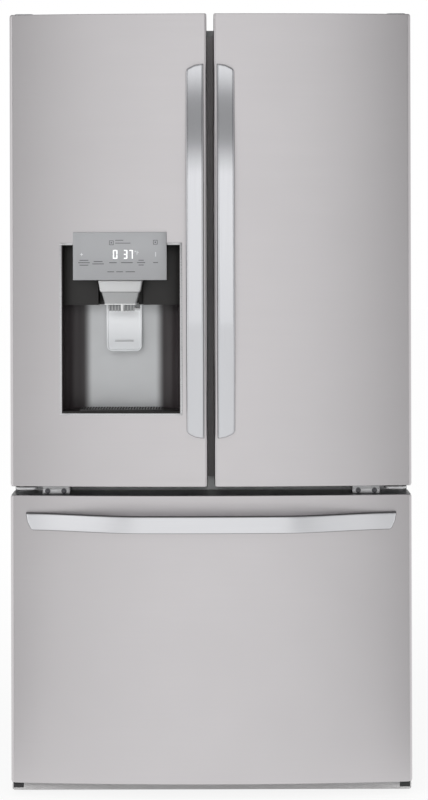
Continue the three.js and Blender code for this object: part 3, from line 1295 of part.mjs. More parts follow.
add('freezer_front_skin', drawerSkin(), STEEL());
add('freezer_front_core', drawerCore(), WHITE());
add('freezer_gasket', drawerGasket(), SEAL());
add('freezer_handle', drawerHandle(), POLISHED());
add('freezer_basket', freezerBasket(), LIGHT_GREY());
add('freezer_tray', upperTray(), LIGHT_GREY());

const reachFront = FRONT + HANDLE_BOW + HANDLE_THICK;
refrigerator.position.y = (reachFront - CASE_DEPTH) / 2;

export default refrigerator;
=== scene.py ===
"""Looks of a French-door bottom-freezer refrigerator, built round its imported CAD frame.

The CAD nodes get their materials here. The fronts, handles, seals, shelves, dispenser and kick strip
are finer meshes that replace their nodes, and small trim, screws and printed marks are added.
"""
import json
import math

import bmesh
import bpy
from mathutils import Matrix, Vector


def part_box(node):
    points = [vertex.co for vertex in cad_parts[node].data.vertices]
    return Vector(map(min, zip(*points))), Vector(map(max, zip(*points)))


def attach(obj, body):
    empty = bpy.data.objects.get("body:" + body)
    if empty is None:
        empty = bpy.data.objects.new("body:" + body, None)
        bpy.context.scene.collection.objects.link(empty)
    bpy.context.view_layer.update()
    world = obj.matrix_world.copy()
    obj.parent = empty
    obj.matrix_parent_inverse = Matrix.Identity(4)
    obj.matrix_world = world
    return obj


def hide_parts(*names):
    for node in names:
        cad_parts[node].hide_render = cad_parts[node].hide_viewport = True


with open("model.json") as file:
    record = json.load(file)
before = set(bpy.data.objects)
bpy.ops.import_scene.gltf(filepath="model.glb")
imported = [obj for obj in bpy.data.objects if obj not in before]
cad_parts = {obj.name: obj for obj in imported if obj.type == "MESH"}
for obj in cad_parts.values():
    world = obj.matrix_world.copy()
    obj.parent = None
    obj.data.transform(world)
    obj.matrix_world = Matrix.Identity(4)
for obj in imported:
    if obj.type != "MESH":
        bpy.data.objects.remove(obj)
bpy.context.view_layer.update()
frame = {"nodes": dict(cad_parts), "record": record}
NODES = frame["nodes"]

# ---------- sizes, in millimetres as in the CAD source ----------
# Y counts from the front edge of the case. The frame's own zero lies 284.65 mm further back.

SHIFT = -284.65
HALF = 454.0  # half the width over the doors
FRONT = 111.0  # case front to the middle of the bowed face
BULGE = 20.0  # that middle stands this far ahead of the face's two sides
RADIUS = (HALF ** 2 + BULGE ** 2) / (2 * BULGE)
CENTRE_Y = RADIUS - FRONT
BACK_GAP = -12.0  # back plane of the doors
CASE_BACK = 737.0
SEAT = 0.3  # from a piece to the surface that it is seated on
SHEET = 1.5
DOOR_Z = (700.5, 1765.5)
DRAWER_Z = (30.5, 679.5)
CENTRE_HALF = 8.0  # half the gap between the doors
HANDLE_WIDTH = 39.5
HANDLE_THICK = 13.7
HANDLE_BOW = 43.0  # how far the bar bows out from the door
HANDLE_RISE = 0.62  # share of half the length over which each end rises
HANDLE_END_DROP = 20.0  # depth of the curve in which each end is cut
HANDLE_INSET = 15.0  # centre line to the near edge of a door's handle
HANDLE_MIDDLE_Z = 1231.0
DRAWER_HANDLE_TOP = 642.0
NICHE_X = (-337.0, -68.0)  # the dispenser's recess
NICHE_Z = (865.0, 1246.0)
NICHE_DEPTH = 88.0
NICHE_RADIUS = 45.0
NICHE_WALL = 2.5
NICHE_FLOOR = 5.0
HOOD_BOTTOM = 1109.0
HOOD_SETBACK = 37.0
BEZEL_WIDTH = 4.0
PANEL_X = (-310.0, -98.5)
PANEL_Z = (1166.0, 1274.0)
PANEL_PROUD = 6.0  # how far the panel's face stands out from the door
CHUTE_X = -204.0
CHUTE_HALF = 50.0
CHUTE_BACK = -37.0
MOUTH_Z = 1112.5  # lower end of the chute, above its pale lip
THROAT_Z = 1110.5  # top of the small pieces that hang in the mouth
PADDLE_X = -197.5
PADDLE_HALF = 40.5
PADDLE_Z = (1002.0, 1098.5)
PIN_Z = 1101.0  # axis of the paddle's hinge
SEAL_X = (12.0, 427.0)  # a door's seal, from the centre line outwards
SHELF_FRONT = 170.0
SHELF_BACK = 624.4
SHELF_HALF = 379.5
COVER_HALF = 402.3  # half the width of the glass over the crispers
BIN_X = (79.0, 377.0)  # bins of the right door
BIN_BACK = 86.5
BRACKET_X = (321.0, 382.5)  # middle hinges, from the centre line outwards
BRACKET_Z = (681.0, 697.5)
BRACKET_FRONT = -75.0
KICK_Y = (-75.0, -72.0)
KICK_Z = (8.5, 27.0)
KICK_HALF = 453.0
SIDES = (("left", -1), ("right", 1))


def front_y(x, offset=0.0):
    """Y of the bowed front at x, moved out from the face by an offset."""
    return CENTRE_Y - math.sqrt((RADIUS + offset) ** 2 - x ** 2)


NICHE_FACE = front_y(sum(NICHE_X) / 2)
NICHE_BACK = NICHE_FACE + NICHE_DEPTH
CHUTE_FACE = NICHE_FACE + 5.0
PADDLE_Y = NICHE_FACE + 58.0


# ---------- node materials ----------

class Wires:
    """Short ways to add nodes to a tree and to link them."""

    def __init__(self, tree):
        self.tree = tree

    def add(self, kind, inputs=(), **settings):
        """A node whose inputs get numbers, colours or other nodes' outputs."""
        made = self.tree.nodes.new(kind)
        for key, value in settings.items():
            setattr(made, key, value)
        for key, value in dict(inputs).items():
            if isinstance(value, bpy.types.NodeSocket):
                self.link(value, made.inputs[key])
            else:
                made.inputs[key].default_value = value
        return made

    def link(self, source, target):
        self.tree.links.new(source, target)

    def maths(self, kind, *values):
        return self.add("ShaderNodeMath", enumerate(values), operation=kind).outputs[0]

    def xyz(self, vector):
        """Outputs X, Y and Z of a vector."""
        return self.add("ShaderNodeSeparateXYZ", {"Vector": vector}).outputs

    def ranged(self, value, low, high, from_low=0.3, from_high=0.7, kind="LINEAR"):
        """Value brought from one range of numbers to another and kept within it."""
        inputs = {"Value": value, "From Min": from_low, "From Max": from_high, "To Min": low,
                  "To Max": high}
        return self.add("ShaderNodeMapRange", inputs, interpolation_type=kind).outputs["Result"]

    def mixed(self, share, first, second, **settings):
        """From the first colour to the second one."""
        inputs = {0: share, 6: first, 7: second}
        return self.add("ShaderNodeMix", inputs, data_type="RGBA", **settings).outputs[2]

    def graded(self, value, low, high, stops):
        """Brightness along a line of (position, grey) stops."""
        graph = self.add("ShaderNodeValToRGB", {"Fac": self.ranged(value, 0.0, 1.0, low, high)})
        graph.color_ramp.interpolation = "EASE"
        while len(graph.color_ramp.elements) < len(stops):
            graph.color_ramp.elements.new(0.5)
        for element, (position, grey) in zip(graph.color_ramp.elements, stops):
            element.position = (position - low) / (high - low)
            element.color = (grey, grey, grey, 1)
        return graph.outputs["Color"]

    def finish_with(self, share, first, second, output):
        """The tree's output is the first shader, with a share of the second one."""
        mix = self.add("ShaderNodeMixShader", {0: share, 1: first.outputs[0], 2: second.outputs[0]})
        self.link(mix.outputs[0], self.tree.nodes[output].inputs["Surface"])


class Finish(Wires):
    """A Principled material whose colour, roughness and bump can vary with noise."""

    def __init__(self, name, color, rough, metal=0.0, **sockets):
        self.mat = bpy.data.materials.new(name)
        self.mat.use_nodes = True
        super().__init__(self.mat.node_tree)
        self.shader = self.tree.nodes["Principled BSDF"]
        self.color = tuple(color) + (1.0,)
        self.rough = rough
        self.set("Base Color", self.color)
        self.set("Roughness", rough)
        self.set("Metallic", metal)
        for key, value in sockets.items():
            self.set(key.replace("_", " "), value)
        self.place = self.add("ShaderNodeTexCoord").outputs["Object"]
        self.height = None

    def set(self, socket, value):
        self.shader.inputs[socket].default_value = value

    def axis(self, name):
        """Place along one axis of the object, in metres."""
        return self.xyz(self.place)[name]

    def noise(self, scale, detail=2.0, rough=0.5):
        """Noise in object space; scale is one number, or one per axis."""
        vector = self.place
        if isinstance(scale, tuple):
            vector = self.add("ShaderNodeMapping", {"Vector": vector, "Scale": scale}).outputs[0]
            scale = 1.0
        inputs = {"Vector": vector, "Scale": scale, "Detail": detail, "Roughness": rough}
        return self.add("ShaderNodeTexNoise", inputs).outputs["Fac"]

    def tint(self, value, other, low=0.0, high=1.0, from_low=0.3, from_high=0.7):
        """Base colour goes towards another colour where value is high."""
        base = self.shader.inputs["Base Color"]
        before = base.links[0].from_socket if base.is_linked else self.color
        share = self.ranged(value, low, high, from_low, from_high)
        self.link(self.mixed(share, before, tuple(other) + (1.0,)), base)
        return self

    def mottle(self, scale, amount, detail=3.0):
        """Small lighter and darker patches."""
        darker = [c * (1 - amount) for c in self.color[:3]]
        return self.tint(self.noise(scale, detail), darker)

    def gloss(self, value, spread):
        """Roughness varies by plus and minus the spread."""
        result = self.ranged(value, self.rough - spread, self.rough + spread)
        self.link(result, self.shader.inputs["Roughness"])
        return self

    def bump(self, value, depth_mm):
        """Relief of the given depth, on top of any that is there already."""
        inputs = {"Distance": depth_mm / 1000, "Strength": 1.0, "Height": value}
        if self.height:
            inputs["Normal"] = self.height
        self.height = self.add("ShaderNodeBump", inputs).outputs["Normal"]
        self.link(self.height, self.shader.inputs["Normal"])
        return self


# Scale of the noise for each direction of the grain: low along it and high across it.
GRAIN = {"x": (6, 60, 1500), "z": (1500, 60, 6), "y": (1500, 6, 1500)}


def brushed(name, color, rough, along="x", depth=0.01, spread=0.05, contrast=0.06):
    """Steel with a fine grain along one axis and a soft, large cloudiness."""
    made = Finish(name, color, rough, 1.0)
    grain = made.noise(GRAIN[along], 4.0, 0.6)
    made.tint(grain, [c * (1 - contrast) for c in color])
    made.tint(made.noise(5.0), [c * 0.965 for c in color])
    made.gloss(grain, spread)
    return made.bump(grain, depth)


def drawn_out(made, amount):
    """Reflections drawn out upright, across a grain that runs level round the piece."""
    tangent = made.add("ShaderNodeTangent", direction_type="RADIAL", axis="Z")
    made.link(tangent.outputs[0], made.shader.inputs["Tangent"])
    made.set("Anisotropic", amount)
    made.set("Anisotropic Rotation", 0.25)
    return made


def painted_shade_sides(made, share, low=0.3, high=0.6):
    """Painted shade: faces that look neither forwards nor backwards get a darker base colour, a painted
    dark outline of shadow and reflection round the piece.
    """
    facing = made.xyz(made.add("ShaderNodeTexCoord").outputs["Normal"])["Y"]
    dark = [c * share for c in made.color[:3]]
    return made.tint(made.maths("ABSOLUTE", facing), dark, 1.0, 0.0, low, high)


def moulded(name, color, rough, grain=900.0, depth=0.015, **sockets):
    """Moulded plastic: a fine spark-eroded texture, or a faint waviness where grain is low."""
    made = Finish(name, color, rough, **sockets)
    fine = made.noise(grain)
    made.mottle(7.0, 0.02)
    made.gloss(made.noise(12.0), 0.04)
    return made.bump(fine, depth)


def clear(name, color, rough, transmission, ior, **sockets):
    """Clear glass or plastic with slight streaks in its gloss."""
    made = Finish(name, color, rough, Transmission_Weight=transmission, IOR=ior, **sockets)
    made.gloss(made.noise(14.0, 3.0), rough * 0.5)
    return made.bump(made.noise(6.0, 1.0), 0.02)


def capped(name, zs):
    """White door lining whose two ends are closed by dark end caps."""
    made = moulded(name, (0.84, 0.845, 0.85), 0.3, grain=4.0, depth=0.3)
    height = made.axis("Z")
    dark = (0.03, 0.03, 0.032)
    low, high = zs[0] / 1000, zs[1] / 1000
    made.tint(height, dark, 0.0, 1.0, high - 0.0002, high - 0.0001)
    return made.tint(height, dark, 1.0, 0.0, low + 0.0001, low + 0.0002)


def painted_light_on_top(made, low, high, strength):
    """Painted light: a translucent piece glows above a height, where the lamp over the recess, which is
    not in the scene, would light it.
    """
    glow = made.ranged(made.axis("Z"), 0.0, strength, low / 1000, high / 1000)
    made.link(glow, made.shader.inputs["Emission Strength"])
    return made


def niche_finish():
    """Dark lining with a painted reflection: the flat part of the recess's back wall turns to a more
    metallic silver, standing in for the bright front that it mirrors.
    """
    made = Finish("niche_lining", (0.028, 0.0225, 0.024), 0.34)
    middle = (sum(NICHE_X) + 6) / 2000
    away = made.maths("ABSOLUTE", made.maths("SUBTRACT", made.axis("X"), middle))
    flat = made.ranged(away, 1.0, 0.0, 0.071, 0.094, "SMOOTHSTEP")
    deep = made.ranged(made.axis("Y"), 0.0, 1.0, (NICHE_BACK + SHIFT - 12) / 1000,
                       (NICHE_BACK + SHIFT - 6) / 1000)
    # Painted reflection: silver and metal where the back wall is flat and deep.
    behind = made.maths("MULTIPLY", flat, deep)
    made.tint(behind, (0.56, 0.57, 0.58), 0.0, 1.0, 0.0, 1.0)
    made.link(made.ranged(behind, 0.0, 0.45, 0.0, 1.0), made.shader.inputs["Metallic"])
    made.gloss(made.noise(30.0, 3.0), 0.05)
    return made.bump(made.noise(1000.0), 0.01)


# Metals.
STEEL = drawn_out(brushed("stainless_brushed", (0.645, 0.624, 0.635), 0.32, depth=0.002, spread=0.02,
                          contrast=0.025), 0.7)
# Painted shade: both handle steels are darker on their sideways faces.
HANDLE = painted_shade_sides(brushed("handle_steel", (0.66, 0.665, 0.69), 0.2, along="z", depth=0.004,
                            spread=0.03), 0.3)
# The drawer handle's steel is the handle steel painted lighter: a painted highlight for the light that
# it catches.
DRAWER_HANDLE = painted_shade_sides(brushed("drawer_handle_steel", (0.82, 0.825, 0.85), 0.34, depth=0.004,
                                   spread=0.03), 0.2, 0.6, 0.93)
BEZEL = brushed("bezel_metal", (0.66, 0.66, 0.67), 0.3, depth=0.003)
TRIM = brushed("trim_steel", (0.70, 0.70, 0.71), 0.25, depth=0.004)
SCREW = brushed("screw_steel", (0.62, 0.62, 0.63), 0.3, along="y", depth=0.004)
BOLT = brushed("bolt_steel", (0.13, 0.13, 0.14), 0.35, along="y", depth=0.004)
PLATED = Finish("plated_steel", (0.74, 0.74, 0.75), 0.4, 0.45)
PLATED.mottle(60.0, 0.1).gloss(PLATED.noise(90.0, 4.0), 0.08)
ZINC = Finish("galvanised", (0.42, 0.43, 0.44), 0.38, 0.9)
ZINC.mottle(45.0, 0.1).gloss(ZINC.noise(60.0, 3.0), 0.06).bump(ZINC.noise(9.0), 0.1)
FINS = Finish("aluminium_fins", (0.60, 0.60, 0.60), 0.4, 1.0)
FINS.mottle((20.0, 400.0, 20.0), 0.2).bump(FINS.noise((10.0, 900.0, 10.0)), 0.05)
PAINT = Finish("case_paint", (0.27, 0.275, 0.28), 0.45)
PAINT.mottle(6.0, 0.05).bump(PAINT.noise(600.0, 3.0), 0.05)
PAINT.gloss(PAINT.noise(30.0, 3.0), 0.06)
BLACK = Finish("black_enamel", (0.014, 0.015, 0.017), 0.3, Coat_Weight=0.4)
BLACK.mottle(40.0, 0.3).bump(BLACK.noise(300.0, 3.0), 0.05)

# Plastics. The chute is painted paler above 1.14 m, where it stands upright below the panel: a painted
# highlight on its upright face against the taper below.
WHITE = moulded("white_plastic", (0.84, 0.845, 0.85), 0.3, grain=4.0, depth=0.3)
LIGHT = moulded("light_plastic", (0.52, 0.53, 0.54), 0.35, grain=5.0, depth=0.2)
GREY = moulded("grey_plastic", (0.28, 0.285, 0.29), 0.42, grain=1200.0, depth=0.03)
DARK = moulded("dark_plastic", (0.024, 0.024, 0.026), 0.45, grain=1200.0, depth=0.03)
BLADES = moulded("fan_plastic", (0.035, 0.036, 0.04), 0.5)
HOOD = moulded("hood_plastic", (0.011, 0.0098, 0.0092), 0.4, grain=1100.0, depth=0.02)
GRILLE = moulded("grille_plastic", (0.035, 0.034, 0.034), 0.35, grain=900.0, depth=0.02)
PANEL = moulded("panel_silver", (0.385, 0.39, 0.403), 0.32, grain=1500.0, depth=0.002, Metallic=0.3)
KICK = moulded("kick_plastic", (0.62, 0.61, 0.615), 0.45, grain=900.0, depth=0.006)
CHUTE = moulded("chute_plastic", (0.40, 0.405, 0.41), 0.33, grain=1200.0, depth=0.004)
# Painted highlight: the chute's upright part above 1.14 m is paler.
CHUTE.tint(CHUTE.axis("Z"), (0.62, 0.625, 0.63), 0.0, 1.0, 1.139, 1.141)
PADDLE = moulded("paddle_plastic", (0.70, 0.715, 0.735), 0.22, grain=1200.0, depth=0.002,
                 Emission_Color=(1.0, 1.0, 1.0, 1.0))
# Painted light on the paddle's upper part, in place of the recess's lamp.
painted_light_on_top(PADDLE, 1020.0, 1070.0, 0.16)
NICHE = niche_finish()
DOOR_LINING = capped("door_lining", DOOR_Z)
DRAWER_LINING = capped("drawer_lining", DRAWER_Z)
TYRE = Finish("roller_plastic", (0.06, 0.06, 0.065), 0.5)
TYRE.mottle(120.0, 0.3).bump(TYRE.noise(500.0), 0.08)

# Glass, seals, foam and print.
GLASS = clear("shelf_glass", (0.90, 0.965, 0.95), 0.03, 0.94, 1.5, Alpha=0.4)
CLEAR = clear("clear_plastic", (0.93, 0.955, 0.965), 0.06, 0.88, 1.45, Alpha=0.6)
SMOKE = clear("crisper_plastic", (0.91, 0.94, 0.95), 0.14, 0.82, 1.45, Alpha=0.7)
SEAL = Finish("seal_rubber", (0.045, 0.045, 0.048), 0.6)
SEAL.mottle(30.0, 0.25).bump(SEAL.noise((300.0, 300.0, 300.0)), 0.05)
LIP = Finish("seal_lip", (0.40, 0.385, 0.39), 0.55)
LIP.mottle(30.0, 0.1).bump(LIP.noise(300.0), 0.02)
FOAM = Finish("foam", (0.78, 0.70, 0.48), 0.9)
FOAM.mottle(60.0, 0.15).bump(FOAM.noise(700.0, 4.0), 0.3)
LIT = Finish("display_light", (0.9, 0.92, 0.93), 0.5, Emission_Color=(1.0, 1.0, 1.0, 1.0),
             Emission_Strength=0.55)
LIT.mottle(300.0, 0.05)
FAINT = Finish("display_dim", (0.72, 0.74, 0.75), 0.5)
FAINT.mottle(300.0, 0.05)
MARK = Finish("print_ink", (0.12, 0.125, 0.13), 0.6)
MARK.mottle(500.0, 0.2)

SLOT_FINISH = {
    "stainless": STEEL, "handle_steel": HANDLE, "case_paint": PAINT, "galvanised": ZINC,
    "insulation": FOAM, "white_plastic": WHITE, "light_plastic": LIGHT, "grey_plastic": GREY,
    "dark_plastic": DARK, "seal": SEAL, "shelf_glass": GLASS, "clear_plastic": CLEAR,
    "black_metal": BLACK, "heat_exchanger": FINS,
}
NODE_FINISH = {
    "condenser_fan": BLADES, "evaporator_fan": BLADES, "rear_roller_left": TYRE,
    "rear_roller_right": TYRE, "levelling_leg_left": TYRE, "levelling_leg_right": TYRE,
    "left_door_core": DOOR_LINING, "right_door_core": DOOR_LINING,
    "freezer_front_core": DRAWER_LINING, "crisper_left": SMOKE, "crisper_right": SMOKE,
    "kick_strip": KICK, "mid_hinge_left": PLATED, "mid_hinge_right": PLATED,
}
for entry in frame["record"]["subparts"]:
    node_mesh = NODES[entry["node"]].data
    node_mesh.materials.clear()
    chosen = NODE_FINISH.get(entry["node"], SLOT_FINISH[entry["material_slot"]])
    node_mesh.materials.append(chosen.mat)


# ---------- meshes ----------

def place(x, y, z):
    """Millimetres of the CAD source as metres of the frame."""
    return (x / 1000, (y + SHIFT) / 1000, z / 1000)


def piece(name, verts, faces, finish, body, slot, stands_for=(), sharp=35, bevel=0.0):
    """A mesh piece from millimetre points, riding on a CAD body."""
    mesh = bpy.data.meshes.new(name)
    mesh.from_pydata([place(*v) for v in verts], [], faces)
    build = bmesh.new()
    build.from_mesh(mesh)
    bmesh.ops.remove_doubles(build, verts=build.verts, dist=1e-6)
    bmesh.ops.recalc_face_normals(build, faces=build.faces)
    if bevel:
        edges = [e for e in build.edges if len(e.link_faces) == 2
                 and e.calc_face_angle(0) > math.radians(40)]
        bmesh.ops.bevel(build, geom=edges, offset=bevel / 1000, segments=2, profile=0.5,
                        affect="EDGES", clamp_overlap=True)
    build.to_mesh(mesh)
    build.free()
    mesh.polygons.foreach_set("use_smooth", [True] * len(mesh.polygons))
    mesh.set_sharp_from_angle(angle=math.radians(sharp))
    mesh.materials.append(finish.mat)
    made = bpy.data.objects.new(name, mesh)
    bpy.context.scene.collection.objects.link(made)
    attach(made, body)
    if stands_for:
        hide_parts(*stands_for)
    return made


def merged(name, meshes, finish, body, slot, **more):
    """Several closed meshes as one piece."""
    verts, faces = [], []
    for points, polygons in meshes:
        start = len(verts)
        verts += points
        faces += [tuple(start + i for i in polygon) for polygon in polygons]
    return piece(name, verts, faces, finish, body, slot, **more)


def box_mesh(xs, ys, zs):
    """Corners and faces of a box between two values on each axis."""
    verts = [(x, y, z) for x in xs for y in ys for z in zs]
    faces = [(0, 1, 3, 2), (4, 6, 7, 5), (0, 4, 5, 1), (2, 3, 7, 6), (0, 2, 6, 4), (1, 5, 7, 3)]
    return verts, faces


def box(name, xs, ys, zs, finish, body, slot, bevel=1.0, **more):
    return piece(name, *box_mesh(xs, ys, zs), finish, body, slot, bevel=bevel, **more)


def loft(rings, closed=False):
    """Faces through rings of points; closed joins the last ring to the first."""
    count = len(rings[0])
    verts = [p for ring in rings for p in ring]
    faces = []
    spans = len(rings) if closed else len(rings) - 1
    for r in range(spans):
        for i in range(count):
            a, b = r * count + i, r * count + (i + 1) % count
            c, d = (b + count) % len(verts), (a + count) % len(verts)
            faces.append((a, b, c, d))
    if not closed:
        faces.append(tuple(range(count)))
        faces.append(tuple(range(len(verts) - count, len(verts))))
    return verts, faces


def across(axis, outline, position):
    """A flat outline as a ring of points, square to an axis at a position on it."""
    if axis == "x":
        return [(position, u, v) for u, v in outline]
    if axis == "y":
        return [(u, position, v) for u, v in outline]
    return [(u, v, position) for u, v in outline]


def drawn(axis, outline, positions):
    """One outline drawn out along an axis."""
    return loft([across(axis, outline, position) for position in positions])


def span(side, a, b):
    """Range of x between two distances from the centre line, on one side of it."""
    return tuple(sorted((side * a, side * b)))


def arc(cx, cy, radius, start, end, steps):
    return [(cx + radius * math.cos(start + (end - start) * i / steps),
             cy + radius * math.sin(start + (end - start) * i / steps)) for i in range(steps + 1)]


def round_rect(us, vs, radius, grow=0.0, steps=6, upper=None):
    """Rectangle with round corners, grown on all sides; upper is the radius of the upper two."""
    q = math.pi / 2
    left, right, low, high = us[0] - grow, us[1] + grow, vs[0] - grow, vs[1] + grow
    big, top = radius + grow, (upper or radius) + grow
    return (arc(right - big, low + big, big, -q, 0, steps)
            + arc(right - top, high - top, top, 0, q, steps)
            + arc(left + top, high - top, top, q, 2 * q, steps)
            + arc(left + big, low + big, big, 2 * q, 3 * q, steps))


def rod(name, axis, centre, profile, steps, finish, body, slot):
    """A turned piece along an axis, from a list of (position, radius)."""
    turn = 2 * math.pi * (1 - 1 / steps)
    rings = [across(axis, arc(*centre, radius, 0, turn, steps - 1), position)
             for position, radius in profile]
    piece(name, *loft(rings), finish, body, slot)


# ---------- stainless fronts ----------

def front_outline(xs, radii, extra, steps=36):
    """A door's skin seen from above, from its back edge round the bowed face to the other one."""
    lead = 1.5  # a narrow strip beside each bend keeps the shading crisp
    ends = []
    for x, radius in zip((xs[0] + radii[0], xs[1] - radii[1]), radii):
        y = CENTRE_Y - math.sqrt((RADIUS - radius) ** 2 - x ** 2)
        ends.append((x, y, radius, math.atan2(y - CENTRE_Y, x), x * RADIUS / (RADIUS - radius)))
    (ax, ay, ar, a_angle, a_end), (bx, by, br, b_angle, b_end) = ends
    span = [a_end + (b_end - a_end) * i / steps for i in range(1, steps)]
    face = [(x, front_y(x)) for x in sorted(set(span + [a_end + lead, b_end - lead] + list(extra)))]
    return ([(xs[0], BACK_GAP), (xs[0], ay + lead)] + arc(ax, ay, ar, -math.pi, a_angle, 10) + face
            + arc(bx, by, br, b_angle, 0, 10) + [(xs[1], by + lead), (xs[1], BACK_GAP)])


def sheet(made):
    """Gives a surface its sheet thickness, inwards, and keeps the sheet's edges crisp."""
    solid = made.modifiers.new("sheet", "SOLIDIFY")
    solid.thickness = SHEET / 1000
    solid.offset = -1.0
    shaped = made.evaluated_get(bpy.context.evaluated_depsgraph_get())
    mesh = bpy.data.meshes.new_from_object(shaped)
    made.modifiers.clear()
    made.data = mesh
    mesh.set_sharp_from_angle(angle=math.radians(45))


def skin(name, xs, sides, zs, body, node, hole=None):
    """Bent steel sheet with rounded corners, its edges turned back and a hole for the dispenser."""
    radii, corners = zip(*sides)
    steps = (0.0, 0.5, 1.2, 2.4, 4.5)
    levels = [(zs[0] + step, step) for step in steps]
    levels += [(z, steps[-1]) for z in (hole[1] if hole else ())]
    levels += [(zs[1] - step, step) for step in reversed(steps)]
    rows = []
    for z, step in levels:
        cut = [r - math.sqrt(max(r * r - max(r - step, 0.0) ** 2, 0.0)) for r in corners]
        outline = front_outline((xs[0] + cut[0], xs[1] - cut[1]), radii, hole[0] if hole else ())
        pulled = 0.4 if step == 0.0 else 0.0
        row = []
        for x, y in outline:
            scale = 1 - pulled / math.hypot(x, y - CENTRE_Y)
            row.append((x * scale, CENTRE_Y + (y - CENTRE_Y) * scale, z))
        rows.append(row)
    count = len(rows[0])
    faces = []
    for r in range(len(rows) - 1):
        for i in range(count - 1):
            x = (rows[r][i][0] + rows[r][i + 1][0]) / 2
            z = (levels[r][0] + levels[r + 1][0]) / 2
            if hole and hole[0][0] < x < hole[0][1] and hole[1][0] < z < hole[1][1]:
                continue
            a, b = r * count + i, (r + 1) * count + i
            faces.append((a, a + 1, b + 1, b))
    verts = [point for row in rows for point in row]
    sheet(piece(name, verts, faces, STEEL, body, "stainless", (node,)))


# Radius of the bend and of the corners, at the outer sides and at the gap between the doors.
OUTER, INNER = (8.0, 4.5), (5.0, 2.0)
skin("left_skin", (-HALF, -CENTRE_HALF), (OUTER, INNER), DOOR_Z, "left_door", "left_door_skin",
     hole=((NICHE_X[0] - SEAT, NICHE_X[1] + SEAT), (NICHE_Z[0] - SEAT, NICHE_Z[1] + SEAT)))
skin("right_skin", (CENTRE_HALF, HALF), (INNER, OUTER), DOOR_Z, "right_door", "right_door_skin")
skin("drawer_skin", (-HALF, HALF), (OUTER, OUTER), DRAWER_Z, "freezer_drawer", "freezer_front_skin")


# ---------- bowed handles ----------

# Inset from the bar's edge, and share of its thickness that is reached there.
HANDLE_EDGE = [(0.0, 0.45), (0.7, 0.76), (1.5, 0.91), (2.3, 0.965), (3.6, 0.993), (6.0, 1.0)]
# The same for its underside, with the inset as a share of the width.
HANDLE_UNDER = [(1.0, 0.2), (0.97, 0.05), (0.9, 0.0), (0.1, 0.0), (0.03, 0.05), (0.0, 0.2)]


def smooth(t):
    """Eased step from 0 to 1."""
    u = min(max(t, 0.0), 1.0)
    return u * u * (3 - 2 * u)


def bow_handle(name, half, put, finish, body, node):
    """A flat bar that lies on the door at both ends and bows out between them."""
    crown = [(inset / HANDLE_WIDTH, rise) for inset, rise in HANDLE_EDGE] + [(0.5, 1.0)]
    crown += [(1 - w, rise) for w, rise in crown[-2::-1]]
    thick = HANDLE_THICK - SEAT
    ends = [(1 - inset / half, rise) for inset, rise in HANDLE_EDGE]
    stations = [(-t, rise) for t, rise in ends]
    stations += [(i / 40, 1.0) for i in range(-39, 40)]
    stations += ends[::-1]
    rings = []
    for t, height in stations:
        points = []
        for w, c in crown + HANDLE_UNDER:
            along = t * (half - HANDLE_END_DROP * (1 - math.sqrt(1 - w ** 2 * 0.98)))
            bow = SEAT + HANDLE_BOW * smooth((1 - abs(along) / half) / HANDLE_RISE)
            points.append(put(along, w * HANDLE_WIDTH, bow + thick * c * height))
        rings.append(points)
    piece(name, *loft(rings), finish, body, "handle_steel", (node,), sharp=40)


def on_door(side):
    """Where a handle's point lies on a door: s along the bar, w across it, out from the door."""
    def put(s, w, out):
        return (side * (HANDLE_INSET + w), front_y(HANDLE_INSET) - out, HANDLE_MIDDLE_Z + s)
    return put


def on_drawer(s, w, out):
    """The same for the drawer's handle, which follows the bow of the face."""
    return (s, front_y(s) - out, DRAWER_HANDLE_TOP - w)


bow_handle("left_handle", 421.0, on_door(-1), HANDLE, "left_door", "left_door_handle")
bow_handle("right_handle", 421.0, on_door(1), HANDLE, "right_door", "right_door_handle")
bow_handle("drawer_handle", 418.0, on_drawer, DRAWER_HANDLE, "freezer_drawer", "freezer_handle")


# ---------- dispenser ----------

def bowed(name, xs, proud, zs, finish, body, slot, steps=10, **more):
    """A plate on the bowed front; proud is how far its back and its face stand out from the door."""
    verts, faces = [], []
    for i in range(steps + 1):
        x = xs[0] + (xs[1] - xs[0]) * i / steps
        near, far = front_y(x, proud[1]), front_y(x, proud[0])
        verts += [(x, near, zs[0]), (x, near, zs[1]), (x, far, zs[1]), (x, far, zs[0])]
        if i:
            a, b = 4 * i - 4, 4 * i
            faces += [(a + j, b + j, b + (j + 1) % 4, a + (j + 1) % 4) for j in range(4)]
    faces += [(0, 1, 2, 3), tuple(4 * steps + j for j in (3, 2, 1, 0))]
    return piece(name, verts, faces, finish, body, slot, **more)


def niche_outline(grow):
    """Plan of the recess from the front edge of one side round the back to the other."""
    (x0, x1), r = NICHE_X, NICHE_RADIUS
    left, right, back = x0 - grow, x1 + grow, NICHE_BACK + grow
    q = math.pi / 2
    return ([(left, front_y(left) + 1.0), (left, front_y(left) + 8.0)]
            + arc(left + r, back - r, r, 2 * q, q, 14) + arc(right - r, back - r, r, q, 0, 14)
            + [(right, front_y(right) + 8.0), (right, front_y(right) + 1.0)])


def niche_shell():
    """Smooth lining of the recess."""
    ring = niche_outline(-NICHE_WALL) + niche_outline(0.0)[::-1]
    levels = (NICHE_Z[0], NICHE_Z[0] + 3, NICHE_Z[1] - 3, NICHE_Z[1])
    piece("niche_lining", *drawn("z", ring, levels), NICHE, "left_door", "dark_plastic",
          ("dispenser_housing",), sharp=50)


